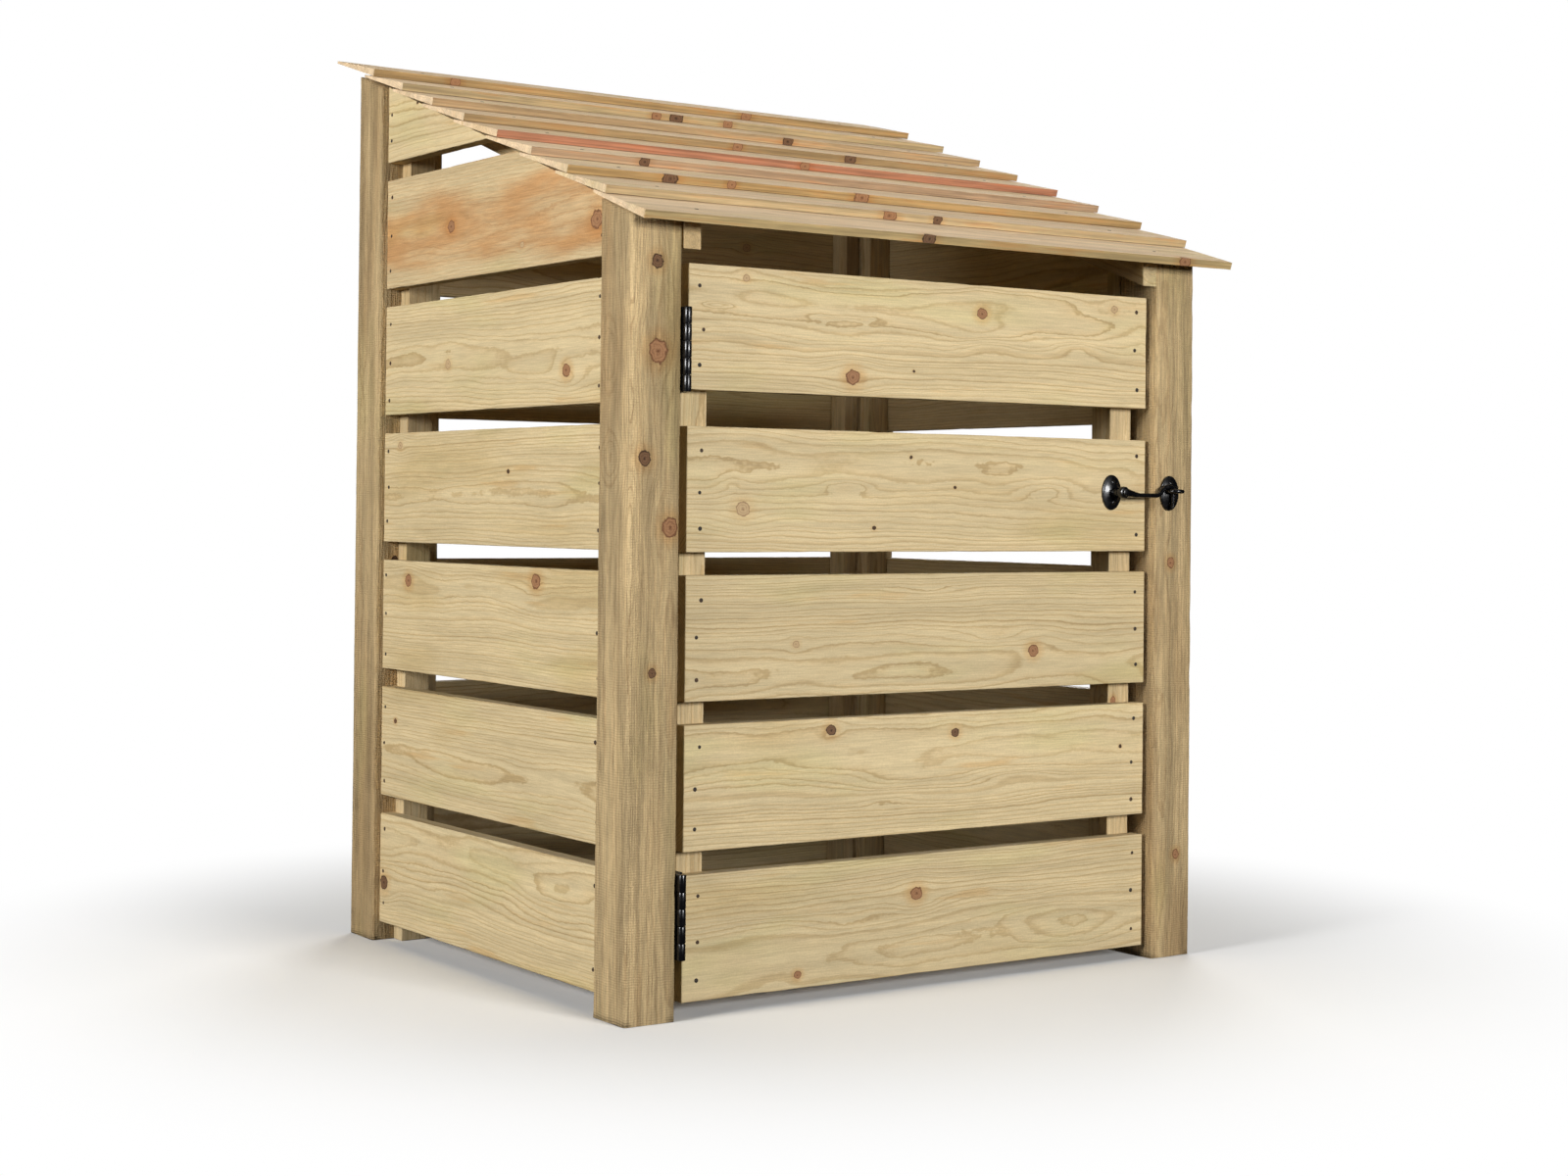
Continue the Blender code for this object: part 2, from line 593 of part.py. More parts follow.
def build_door_rose(shop, pivot):
    """Build the hook's plate on the door, with the headed stud that the hook turns on."""
    plate = shop.add_piece("latch_door_plate", rose_mesh(shop, "latch_door_plate"), BLACK_IRON,
                           (DOOR_ROSE_X, DOOR_SET_BACK - FIT_GAP, LATCH_HEIGHT), pivot)
    head_back = STUD_CENTRE.y - HOOK_EYE_THICKNESS / 2 - KNUCKLE_CLEARANCE
    stud_root = DOOR_SET_BACK - STUD_ROOT_DEPTH
    stud_front = head_back - STUD_HEAD_OVERLAP
    stud = shop.add_cutter("stud", rod_mesh("stud", STUD_RADIUS, stud_root - stud_front, "Y"),
                           (DOOR_ROSE_X, (stud_root + stud_front) / 2, LATCH_HEIGHT))
    head = shop.add_cutter("stud_head", rod_mesh("stud_head", STUD_HEAD_RADIUS, STUD_HEAD_THICKNESS, "Y",
                                                 end_radius=STUD_HEAD_RADIUS * STUD_HEAD_TAPER),
                           (DOOR_ROSE_X, head_back - STUD_HEAD_THICKNESS / 2, LATCH_HEIGHT))
    collar_front = STUD_CENTRE.y + HOOK_EYE_THICKNESS / 2 + KNUCKLE_CLEARANCE
    collar_mesh = rod_mesh("stud_collar", STUD_HEAD_RADIUS, stud_root - collar_front, "Y",
                           end_radius=STUD_HEAD_RADIUS * STUD_COLLAR_TAPER)
    collar = shop.add_cutter("stud_collar", collar_mesh,
                             (DOOR_ROSE_X, (stud_root + collar_front) / 2, LATCH_HEIGHT))
    for piece in (collar, stud, head):
        cut(plate, piece, "UNION")


def build_post_rose(shop):
    """Build the hook's plate on the post, with the level ring that the hook drops into."""
    plate = shop.add_piece("latch_post_plate", rose_mesh(shop, "latch_post_plate"), BLACK_IRON,
                           (POST_ROSE_X, -FIT_GAP, LATCH_HEIGHT))
    turns = [math.tau * step / ROUND_SIDES for step in range(ROUND_SIDES)]
    circle = [(RING_RADIUS * math.cos(turn), RING_RADIUS * math.sin(turn), 0.0) for turn in turns]
    wire_radii = [RING_WIRE_RADIUS] * ROUND_SIDES
    ring = shop.add_cutter("ring", wire_mesh(shop, "ring", circle, wire_radii, cyclic=True), RING_CENTRE)
    shank_front = RING_CENTRE.y + RING_RADIUS
    shank_root = -RING_SHANK_ROOT_DEPTH
    shank_mesh = rod_mesh("ring_shank", RING_SHANK_RADIUS, shank_root - shank_front, "Y")
    shank = shop.add_cutter("ring_shank", shank_mesh,
                            (RING_CENTRE.x, (shank_front + shank_root) / 2, RING_CENTRE.z))
    cut(plate, shank, "UNION")
    cut(plate, ring, "UNION")


def main():
    """Build the whole log store."""
    clear_scene()
    shop = Workshop()
    door_pivot = shop.add_pivot("door_pivot", HINGE_AXIS)
    hook_pivot = shop.add_pivot("hook_pivot", STUD_CENTRE, door_pivot)
    wall_top = add_slope_cutter(shop, "wall_top_cutter", WALL_TOP_DROP)
    rafter_bed = add_slope_cutter(shop, "rafter_bed_cutter", BATTEN_WIDTH / math.cos(SLOPE_ANGLE) + FIT_GAP)
    build_posts(shop)
    build_side_walls(shop, wall_top)
    build_back_wall(shop, rafter_bed)
    build_rafters(shop)
    build_roof(shop)
    build_door(shop, door_pivot)
    build_hinges(shop, door_pivot)
    build_door_rose(shop, door_pivot)
    build_hook_arm(shop, hook_pivot)
    build_post_rose(shop)


main()
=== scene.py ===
"""Looks of the slatted timber log store: sawn softwood, black ironwork, nails and screws, and a plain studio.

Each piece of timber is a finer copy of its node, with worn arrises and a slightly wavy surface. Its material is cut
from a log: rings around a pith, which bend round the knots.
"""
import json
import logging
import math
import random
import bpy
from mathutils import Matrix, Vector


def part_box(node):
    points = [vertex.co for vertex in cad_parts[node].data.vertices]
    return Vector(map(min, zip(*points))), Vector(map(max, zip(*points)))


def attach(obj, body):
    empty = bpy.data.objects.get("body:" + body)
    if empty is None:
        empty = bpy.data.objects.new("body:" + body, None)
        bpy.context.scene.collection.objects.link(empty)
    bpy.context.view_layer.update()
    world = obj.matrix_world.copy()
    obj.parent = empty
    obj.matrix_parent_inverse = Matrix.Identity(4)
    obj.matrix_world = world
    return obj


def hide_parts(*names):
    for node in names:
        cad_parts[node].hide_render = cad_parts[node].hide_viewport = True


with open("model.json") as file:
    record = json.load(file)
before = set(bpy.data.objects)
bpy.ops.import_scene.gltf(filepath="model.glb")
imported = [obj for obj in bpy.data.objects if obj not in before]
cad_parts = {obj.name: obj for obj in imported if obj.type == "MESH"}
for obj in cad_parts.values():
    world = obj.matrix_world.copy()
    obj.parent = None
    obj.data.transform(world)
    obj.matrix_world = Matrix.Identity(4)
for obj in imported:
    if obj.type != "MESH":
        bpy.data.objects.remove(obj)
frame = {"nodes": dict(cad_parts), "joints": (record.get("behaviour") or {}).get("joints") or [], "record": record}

import zlib
from dataclasses import dataclass, field
from enum import Enum

import bmesh
import bpy
from mathutils import Matrix, Vector, noise

LOG = logging.getLogger("log_store")
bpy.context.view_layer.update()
BODY_OF_NODE = {node: body for body, nodes in frame["record"]["behaviour"]["bodies"].items() for node in nodes}
JOINTS = {joint["name"]: joint for joint in frame["joints"]}

Colour = tuple[float, float, float]
Socket = bpy.types.NodeSocket
MERGE_DISTANCE = 0.00001


# Finishes

@dataclass(frozen=True)
class TimberFinish:
    """How one kind of timber looks. Lengths are in metres, colours are linear.

    Args:
        pale: colour of the wide, early wood between the ring lines.
        line: colour of the ring lines.
        heart: colour that broad patches lean to.
        resin: colour of the late wood and of the long thin streaks.
        ring: distance between rings in the log.
        line_strength: how strongly the ring lines show, 0 to 1.
        late_strength: how strongly the late wood is tinted, 0 to 1.
        heart_share: how much of the surface leans to the heart colour, 0 to 1.
        heart_band: the part of the width that is heart wood, where that is a plain band.
        streak: how strong the light and dark streaks along the grain are.
        fuzz: how strong the finest fibres are.
        saw_pitch: distance between saw marks across the grain.
        saw_depth: how deep the saw marks are, as a share of the relief.
        relief: height of the surface relief.
        roughness: roughness of the bare wood.
    """

    pale: Colour
    line: Colour
    heart: Colour
    resin: Colour = (0.60, 0.375, 0.150)
    ring: float = 0.0036
    line_strength: float = 0.75
    late_strength: float = 0.30
    heart_share: float = 0.35
    heart_band: tuple[float, float] | None = None
    streak: float = 0.10
    fuzz: float = 0.09
    saw_pitch: float = 0.0023
    saw_depth: float = 0.10
    relief: float = 0.0004
    roughness: float = 0.66


BOARD = TimberFinish(pale=(0.66, 0.525, 0.30), line=(0.43, 0.30, 0.135), heart=(0.61, 0.47, 0.245))
PEACH_BOARD = TimberFinish(pale=(0.62, 0.48, 0.27), line=(0.44, 0.25, 0.105), heart=(0.56, 0.31, 0.130),
                           resin=(0.56, 0.30, 0.115), line_strength=0.5, heart_band=(-0.056, 0.034), fuzz=0.13,
                           saw_depth=0.45)
POST = TimberFinish(pale=(0.47, 0.345, 0.180), line=(0.30, 0.200, 0.095), heart=(0.36, 0.245, 0.120),
                    resin=(0.42, 0.27, 0.125), ring=0.0030, line_strength=0.6, heart_share=0.55, streak=0.26,
                    fuzz=0.22, saw_pitch=0.0030, saw_depth=0.9, relief=0.0013, roughness=0.86)
BATTEN = TimberFinish(pale=(0.56, 0.435, 0.245), line=(0.38, 0.265, 0.125), heart=(0.48, 0.35, 0.18), ring=0.0034,
                      streak=0.18, fuzz=0.12, saw_depth=0.5, relief=0.0005, roughness=0.8)
ROOF = TimberFinish(pale=(0.74, 0.56, 0.36), line=(0.56, 0.39, 0.22), heart=(0.66, 0.48, 0.28), ring=0.0036,
                    line_strength=0.5, streak=0.15, fuzz=0.12, saw_pitch=0.0026, saw_depth=0.5, relief=0.0005,
                    roughness=0.8)


@dataclass(frozen=True)
class IronFinish:
    """Black japanned iron: a thin glossy black coat with a little dust and wear."""

    colour: Colour = (0.0025, 0.0025, 0.0032)
    worn: Colour = (0.010, 0.009, 0.010)
    roughness: float = 0.20
    coat: float = 0.15


@dataclass(frozen=True)
class NailFinish:
    """Plain steel that the weather has darkened, with a little rust."""

    steel: Colour = (0.030, 0.023, 0.017)
    rust: Colour = (0.070, 0.036, 0.017)
    roughness: float = 0.75


class KnotKind(Enum):
    """The kinds of knot. Each holds its heart colour, its rim colour and how much it stains the wood around."""

    LIVE = ((0.37, 0.190, 0.090), (0.170, 0.072, 0.034), 0.60)
    DARK = ((0.190, 0.100, 0.050), (0.050, 0.026, 0.015), 0.50)
    PALE = ((0.55, 0.39, 0.21), (0.33, 0.205, 0.105), 0.30)
    PIN = ((0.075, 0.042, 0.022), (0.060, 0.032, 0.018), 0.30)


@dataclass(frozen=True)
class Knot:
    """One knot, measured from the middle of the outer face.

    Args:
        along: place along the grain.
        across: place across the grain.
        radius: the knot's radius.
        kind: the kind of knot.
        depth: None for a branch that runs right through, or how deep the middle of a small buried one lies.
    """

    along: float
    across: float
    radius: float = 0.007
    kind: KnotKind = KnotKind.LIVE
    depth: float | None = None


@dataclass(frozen=True)
class Swell:
    """A place where the log bulged, so that flat-sawn rings close into an island.

    Args:
        along: middle of the island along the grain.
        across: middle of the island across the grain.
        length: half of its length.
        width: half of its width.
        rings: how many rings the bulge lifts.
    """

    along: float
    across: float
    length: float = 0.040
    width: float = 0.010
    rings: float = 1.4


# Shader writing

class ShaderWriter:
    """Writes one node material, a socket at a time."""

    def __init__(self, name: str) -> None:
        """Start a material that holds only its Principled shader."""
        self.material = bpy.data.materials.new(name)
        self.material.use_nodes = True
        self.tree = self.material.node_tree
        self.shader = self.tree.nodes["Principled BSDF"]

    def node(self, kind: str, **settings: object) -> bpy.types.Node:
        """Return a new node with its settings made."""
        made = self.tree.nodes.new(kind)
        for key, value in settings.items():
            setattr(made, key, value)
        return made

    def feed(self, socket: Socket, value: object) -> None:
        """Link a socket to another one, or give it a plain value."""
        if isinstance(value, bpy.types.NodeSocket):
            self.tree.links.new(value, socket)
        elif isinstance(value, tuple) and socket.type == "RGBA":
            socket.default_value = (*value, 1.0)
        else:
            socket.default_value = value

    def math(self, operation: str, *values: object) -> Socket:
        """Return the result of a sum on numbers."""
        made = self.node("ShaderNodeMath", operation=operation)
        for socket, value in zip(made.inputs, values):
            self.feed(socket, value)
        return made.outputs[0]

    def vector(self, operation: str, *values: object) -> Socket:
        """Return the result of a sum on vectors."""
        made = self.node("ShaderNodeVectorMath", operation=operation)
        for socket, value in zip(made.inputs, values):
            self.feed(socket, value)
        return made.outputs["Value" if operation in ("LENGTH", "DOT_PRODUCT", "DISTANCE") else "Vector"]

    def scaled(self, value: Socket, factor: object) -> Socket:
        """Return a vector times a number."""
        made = self.node("ShaderNodeVectorMath", operation="SCALE")
        self.feed(made.inputs[0], value)
        self.feed(made.inputs["Scale"], factor)
        return made.outputs["Vector"]

    def split(self, value: Socket) -> tuple[Socket, Socket, Socket]:
        """Return the three numbers of a vector."""
        made = self.node("ShaderNodeSeparateXYZ")
        self.feed(made.inputs[0], value)
        return made.outputs[0], made.outputs[1], made.outputs[2]

    def noise(self, place: Socket, scale: Colour, detail: float = 2.0, rough: float = 0.5) -> Socket:
        """Return noise around 0.5, stretched by a number of waves in a metre along, across and through."""
        return self.noise_node(place, scale, detail, rough).outputs["Fac"]

    def drift(self, place: Socket, scale: Colour, reach: Colour, detail: float = 2.0) -> Socket:
        """Return a noisy vector around zero, with a reach in each direction."""
        colour = self.noise_node(place, scale, detail, 0.5).outputs["Color"]
        return self.vector("MULTIPLY", self.vector("SUBTRACT", colour, (0.5, 0.5, 0.5)), reach)

    def noise_node(self, place: Socket, scale: Colour, detail: float, rough: float) -> bpy.types.Node:
        """Return a noise texture node."""
        made = self.node("ShaderNodeTexNoise")
        self.feed(made.inputs["Vector"], self.vector("MULTIPLY", place, scale))
        made.inputs["Scale"].default_value = 1.0
        made.inputs["Detail"].default_value = detail
        made.inputs["Roughness"].default_value = rough
        return made

    def fade(self, value: object, low: float, high: float, start: float = 0.0, end: float = 1.0) -> Socket:
        """Return a smooth step from start to end as the value goes from low to high."""
        if low > high:
            low, high, start, end = high, low, end, start
        made = self.node("ShaderNodeMapRange", interpolation_type="SMOOTHSTEP")
        for name, number in zip(("Value", "From Min", "From Max", "To Min", "To Max"),
                                (value, low, high, start, end)):
            self.feed(made.inputs[name], number)
        return made.outputs[0]

    def mix(self, share: object, first: object, second: object, blend: str = "MIX") -> Socket:
        """Return two colours mixed by a share."""
        made = self.node("ShaderNodeMix", data_type="RGBA", blend_type=blend)
        self.feed(made.inputs["Factor"], share)
        self.feed(made.inputs[6], first)
        self.feed(made.inputs[7], second)
        return made.outputs[2]

    def shaded(self, colour: object, factor: Socket) -> Socket:
        """Return a colour times a number."""
        grey = self.node("ShaderNodeCombineColor")
        for socket in grey.inputs[:3]:
            self.feed(socket, factor)
        return self.mix(1.0, colour, grey.outputs[0], "MULTIPLY")

    def ramp(self, value: Socket, stops: tuple[tuple[float, float], ...]) -> Socket:
        """Return a number read off a curve of (place, height) stops."""
        made = self.node("ShaderNodeValToRGB")
        points = made.color_ramp.elements
        while len(points) < len(stops):
            points.new(1.0)
        for point, (place, height) in zip(points, stops):
            point.position = place
            point.color = (height, height, height, 1.0)
        self.feed(made.inputs[0], value)
        return made.outputs[0]

    def bump(self, height: Socket, distance: float, strength: float = 1.0) -> None:
        """Give the shader a relief of a real height."""
        made = self.node("ShaderNodeBump")
        made.inputs["Strength"].default_value = strength
        made.inputs["Distance"].default_value = distance
        self.feed(made.inputs["Height"], height)
        self.feed(self.shader.inputs["Normal"], made.outputs[0])

    def finish(self, colour: object, roughness: object, **constants: float) -> bpy.types.Material:
        """Connect the colour and roughness, set constants on the shader's own sockets, and return the material."""
        self.feed(self.shader.inputs["Base Color"], colour)
        self.feed(self.shader.inputs["Roughness"], roughness)
        for name, value in constants.items():
            self.shader.inputs[name.replace("_", " ")].default_value = value
        return self.material


@dataclass(frozen=True)
class Grain:
    """Which way a piece of timber lies, and where in the log it was cut.

    Args:
        along: direction of the grain.
        across: direction across the width.
        centre: middle of the piece's outer face.
        half_width: half of the piece's width.
        pith_across: how far the log's pith lies across from the middle.
        pith_depth: how far the log's pith lies behind the outer face.
        seed: what makes the piece unlike its neighbours.
    """

    along: Vector
    across: Vector
    centre: Vector
    half_width: float
    pith_across: float
    pith_depth: float
    seed: float

    def turn(self) -> Matrix:
        """Return the turn from grain measure to the store's own measure."""
        return Matrix((self.along, self.across, self.along.cross(self.across))).transposed()


@dataclass
class TimberMaterial:
    """Softwood cut from a log, for one piece.

    Args:
        name: the piece's name.
        finish: the kind of timber.
        grain: where the piece lies and how it was cut.
        knots: the knots on its outer face.
        swells: the islands in its grain.
        tone: how light the piece is, 1 for its finish's own lightness.
        edge: colour of the lower long edge, where it differs.
    """

    name: str
    finish: TimberFinish
    grain: Grain
    knots: list[Knot]
    swells: list[Swell] = field(default_factory=list)
    tone: float = 1.0
    edge: Colour | None = None
    part_length: float = 4.6
    part_width: float = 2.7
    part_strength: float = 0.88

    def place(self, write: ShaderWriter) -> Socket:
        """Return the point in grain measure: along, across, and out of the face."""
        mapping = write.node("ShaderNodeMapping", vector_type="TEXTURE")
        mapping.inputs["Location"].default_value = self.grain.centre
        mapping.inputs["Rotation"].default_value = self.grain.turn().to_euler()
        write.feed(mapping.inputs["Vector"], write.node("ShaderNodeTexCoord").outputs["Object"])
        return mapping.outputs[0]

    def hump(self, write: ShaderWriter, away: Socket, length: float, width: float) -> Socket:
        """Return a smooth hump that is 1 in the middle and fades over a length and a width."""
        reach = write.vector("LENGTH", write.vector("MULTIPLY", away, (1 / length, 1 / width, 0.0)))
        return write.math("EXPONENT", write.math("MULTIPLY", write.math("POWER", reach, 2.0), -1.0))

    def parted(self, write: ShaderWriter, place: Socket) -> Socket:
        """Return the point from which the rings are read, so that they part round the knots."""
        parted = place
        for knot in self.knots:
            if knot.kind is KnotKind.PIN or knot.depth is not None:
                continue
            away = write.vector("SUBTRACT", place, (knot.along, knot.across, 0.0))
            hump = self.hump(write, away, knot.radius * self.part_length, knot.radius * self.part_width)
            shift = write.vector("MULTIPLY", away, (0.0, -self.part_strength, 0.0))
            parted = write.vector("ADD", parted, write.scaled(shift, hump))
        return parted

    def ring_place(self, write: ShaderWriter, place: Socket, shifted: Socket) -> Socket:
        """Return how far a point lies through its own year's ring, 0 to 1, with a strength for each ring."""
        grain = self.grain
        bent = self.parted(write, place)
        for scale, reach, detail in (((2.3, 9.0, 5.0), (0.0, 0.011, 0.036), 2.0),
                                     ((20.0, 60.0, 60.0), (0.0, 0.0022, 0.0022), 2.0),
                                     ((120.0, 210.0, 210.0), (0.0, 0.0010, 0.0010), 1.0)):
            bent = write.vector("ADD", bent, write.drift(shifted, scale, reach, detail))
        from_pith = write.vector("SUBTRACT", bent, (0.0, grain.pith_across, -grain.pith_depth))
        radius = write.vector("LENGTH", write.vector("MULTIPLY", from_pith, (0.0, 1.0, 1.0)))
        count = write.math("DIVIDE", radius, self.finish.ring)
        for swell in self.swells:
            ragged = write.vector("ADD", place, write.drift(shifted, (30.0, 80.0, 80.0), (0.030, 0.006, 0.0)))
            away = write.vector("SUBTRACT", ragged, (swell.along, swell.across, 0.0))
            count = write.math("MULTIPLY_ADD", self.hump(write, away, swell.length, swell.width), swell.rings, count)
        uneven = write.node("ShaderNodeTexNoise", noise_dimensions="1D")
        write.feed(uneven.inputs["W"], write.math("ADD", count, grain.seed))
        uneven.inputs["Scale"].default_value = 0.35
        return write.math("MULTIPLY_ADD", uneven.outputs[0], 1.8, count)

    def build(self) -> bpy.types.Material:
        """Write the whole material and return it."""
        finish, seed = self.finish, self.grain.seed
        write = ShaderWriter("timber_" + self.name)
        place = self.place(write)
        shifted = write.vector("ADD", place, (seed * 3.1, seed * 1.7, seed * 2.3))
        count = self.ring_place(write, place, shifted)
        part = write.math("FRACT", count)
        each = write.node("ShaderNodeTexWhiteNoise", noise_dimensions="1D")
        write.feed(each.inputs["W"], write.math("ADD", write.math("FLOOR", count), seed))
        strength = write.math("MULTIPLY_ADD", each.outputs[0], 0.6, 0.4)
        late, line = (write.math("MULTIPLY", write.ramp(part, stops), strength) for stops in (
            ((0.0, 0.0), (0.35, 0.0), (0.72, 0.75), (0.93, 1.0), (1.0, 0.0)),
            ((0.0, 0.35), (0.07, 0.0), (0.70, 0.0), (0.86, 1.0), (0.95, 1.0), (1.0, 0.35))))
        fibre = write.noise(shifted, (30.0, 620.0, 620.0), 3.0, 0.6)
        speck = write.noise(shifted, (420.0, 560.0, 560.0), 2.0, 0.7)
        streaks = write.noise(shifted, (3.2, 62.0, 62.0), 4.0, 0.6)
        broad = write.noise(shifted, (2.4, 10.0, 10.0), 2.0)
        heart = write.fade(broad, 0.66 - 0.3 * finish.heart_share, 0.74 - 0.1 * finish.heart_share)
        if finish.heart_band is not None:
            heart = self.band(write, place, shifted)
        colour = write.mix(heart, finish.pale, finish.heart)
        colour = write.mix(write.math("MULTIPLY", late, finish.late_strength), colour, finish.resin)
        resin = write.fade(write.noise(shifted, (4.5, 50.0, 50.0), 3.0), 0.63, 0.72, 0.0, 0.5)
        colour = write.mix(resin, colour, finish.resin)
        colour = write.mix(write.math("MULTIPLY", line, finish.line_strength), colour, finish.line)
        shade = write.fade(streaks, 0.28, 0.72, 1.0 - finish.streak, 1.0 + finish.streak)
        shade = write.math("MULTIPLY", shade, write.fade(fibre, 0.28, 0.72, 1.0 - finish.fuzz, 1.0 + finish.fuzz))
        shade = write.math("MULTIPLY", shade, write.fade(speck, 0.25, 0.75, 0.94, 1.05))
        colour = write.shaded(colour, write.math("MULTIPLY", shade, self.tone))
        green = write.fade(write.noise(shifted, (4.0, 14.0, 14.0), 2.0), 0.52, 0.74, 0.0, 0.8)
        colour = write.mix(green, colour, write.mix(1.0, colour, (0.94, 0.99, 0.90), "MULTIPLY"))
        if self.edge is not None:
            colour = self.paint_edge(write, place, shifted, colour)
        colour, sunk = self.paint_knots(write, place, shifted, colour)
        sway = write.math("MULTIPLY", write.noise(shifted, (9.0, 30.0, 30.0), 2.0), 14.0)
        saw = write.math("SINE", write.math("MULTIPLY_ADD", write.split(place)[0], math.tau / finish.saw_pitch, sway))
        torn = write.noise(shifted, (120.0, 520.0, 520.0), 3.0, 0.65)
        height = write.math("MULTIPLY_ADD", line, 0.35, write.math("MULTIPLY", fibre, 0.9))
        height = write.math("MULTIPLY_ADD", saw, 0.16 * finish.saw_depth, height)
        height = write.math("MULTIPLY_ADD", torn, 1.0 * finish.saw_depth, height)
        height = write.math("MULTIPLY_ADD", sunk, -0.8, height)
        write.bump(height, finish.relief, 0.9)
        rough = write.fade(fibre, 0.2, 0.8, finish.roughness - 0.06, finish.roughness + 0.08)
        return write.finish(colour, rough, Specular_IOR_Level=0.25)

    def band(self, write: ShaderWriter, place: Socket, shifted: Socket) -> Socket:
        """Return how much of the heart colour shows in a band along the piece."""
        low, high = self.finish.heart_band
        across = write.split(write.vector("ADD", place, write.drift(shifted, (5.0, 9.0, 9.0), (0.0, 0.08, 0.0))))[1]
        inside = write.math("MULTIPLY", write.fade(across, low - 0.014, low + 0.014),
                            write.fade(across, high + 0.014, high - 0.014))
        patches = write.fade(write.noise(shifted, (7.0, 26.0, 26.0), 3.0), 0.3, 0.6, 0.35, 1.0)
        return write.math("MULTIPLY", inside, patches)

    def paint_edge(self, write: ShaderWriter, place: Socket, shifted: Socket, colour: Socket) -> Socket:
        """Return the colour with the lower long edge painted, as a sawn edge that shows other wood."""
        half = self.grain.half_width
        on_edge = write.fade(write.split(place)[1], -half + 0.0014, -half + 0.0006)
        lines = write.noise(shifted, (3.0, 300.0, 300.0), 3.0, 0.65)
        patch = write.noise(shifted, (9.0, 60.0, 120.0), 3.0, 0.6)
        shade = write.math("MULTIPLY", write.fade(lines, 0.3, 0.7, 0.74, 1.22), write.fade(patch, 0.3, 0.7, 0.8, 1.16))
        redder = write.mix(1.0, self.edge, (0.86, 0.66, 0.52), "MULTIPLY")
        wood = write.mix(write.fade(patch, 0.5, 0.68, 0.0, 0.75), self.edge, redder)
        return write.mix(on_edge, colour, write.shaded(wood, shade))

    def paint_knots(self, write: ShaderWriter, place: Socket, shifted: Socket,
                    colour: Socket) -> tuple[Socket, Socket]:
        """Return the colour with the knots painted in, and how far each point is sunk in a knot."""
        ragged = write.drift(shifted, (170.0, 170.0, 170.0), (0.75, 0.75, 0.0), 4.0)
        sunk = write.math("MULTIPLY", 0.0, 1.0)
        for knot in self.knots:
            heart, rim, stain = knot.kind.value
            thickness = 0.0 if knot.depth is None else 0.9 / knot.radius
            from_knot = write.vector("SUBTRACT", place, (knot.along, knot.across, -(knot.depth or 0.0)))
            size = (0.86 / knot.radius, 1.0 / knot.radius, thickness)
            radii = write.vector("LENGTH", write.vector("ADD", write.vector("MULTIPLY", from_knot, size), ragged))
            halo = write.fade(radii, 2.7, 1.0, 0.0, stain)
            colour = write.mix(halo, colour, write.mix(1.0, colour, (0.90, 0.70, 0.50), "MULTIPLY"))
            rings = write.ramp(write.math("FRACT", write.math("MULTIPLY", radii, 3.1)),
                               ((0.0, 0.0), (0.5, 0.15), (0.85, 1.0), (1.0, 0.2)))
            face = write.mix(write.math("MULTIPLY", rings, 0.6), heart, rim)
            face = write.mix(write.fade(radii, 0.80, 0.98), face, rim)
            face = write.mix(write.fade(radii, 0.22, 0.10), face, rim)
            inside = write.fade(radii, 1.10, 0.96)
            colour = write.mix(inside, colour, face)
            sunk = write.math("MAXIMUM", sunk, inside)
        return colour, sunk


def iron_material(finish: IronFinish) -> bpy.types.Material:
    """Return the glossy black of the hinges and the hook."""
    write = ShaderWriter("black_iron")
    place = write.node("ShaderNodeTexCoord").outputs["Object"]
    patches = write.noise(place, (90.0, 90.0, 90.0), 4.0, 0.6)
    orange_peel = write.noise(place, (900.0, 900.0, 900.0), 2.0)
    colour = write.mix(write.fade(patches, 0.58, 0.74, 0.0, 0.6), finish.colour, finish.worn)
    write.bump(orange_peel, 0.00006, 0.5)
    rough = write.fade(patches, 0.35, 0.75, finish.roughness, finish.roughness + 0.18)
    return write.finish(colour, rough, Coat_Weight=finish.coat, Coat_Roughness=0.12, Specular_IOR_Level=0.4)


def nail_material(finish: NailFinish) -> bpy.types.Material:
    """Return the weathered steel of the nail heads."""
    write = ShaderWriter("nail_steel")
    place = write.node("ShaderNodeTexCoord").outputs["Object"]
    colour = write.mix(write.fade(write.noise(place, (55.0, 55.0, 55.0), 3.0), 0.42, 0.62), finish.steel, finish.rust)
    write.bump(write.noise(place, (1500.0, 1500.0, 1500.0), 2.0), 0.0001, 0.6)
    return write.finish(colour, finish.roughness, Metallic=0.1)


# Mesh tools

def mesh_from(name: str, bm: bmesh.types.BMesh) -> bpy.types.Mesh:
    """Return the mesh of a bmesh, which is freed."""
    mesh = bpy.data.meshes.new(name)
    bm.to_mesh(mesh)
    bm.free()
    return mesh


def linked(name: str, data: bpy.types.ID) -> bpy.types.Object:
    """Return a new object at the origin, linked to the scene."""
    made = bpy.data.objects.new(name, data)
    bpy.context.scene.collection.objects.link(made)
    return made


def object_from(name: str, mesh: bpy.types.Mesh, material: bpy.types.Material) -> bpy.types.Object:
    """Return a new object at the origin that shows a mesh in a material."""
    mesh.materials.clear()
    mesh.materials.append(material)
    return linked(name, mesh)


def stand_for(piece: bpy.types.Object, node: str) -> None:
    """Let a piece stand for a node: put it on the node's body and hide the node."""
    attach(piece, BODY_OF_NODE[node])
    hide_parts(node)


def smooth_shade(mesh: bpy.types.Mesh, degrees: float) -> None:
    """Shade a mesh smooth, apart from edges sharper than an angle."""
    mesh.shade_smooth()
    mesh.set_sharp_from_angle(angle=math.radians(degrees))


def seed_of(name: str) -> int:
    """Return a number that is always the same for a name."""
    return zlib.crc32(name.encode())


# Timber

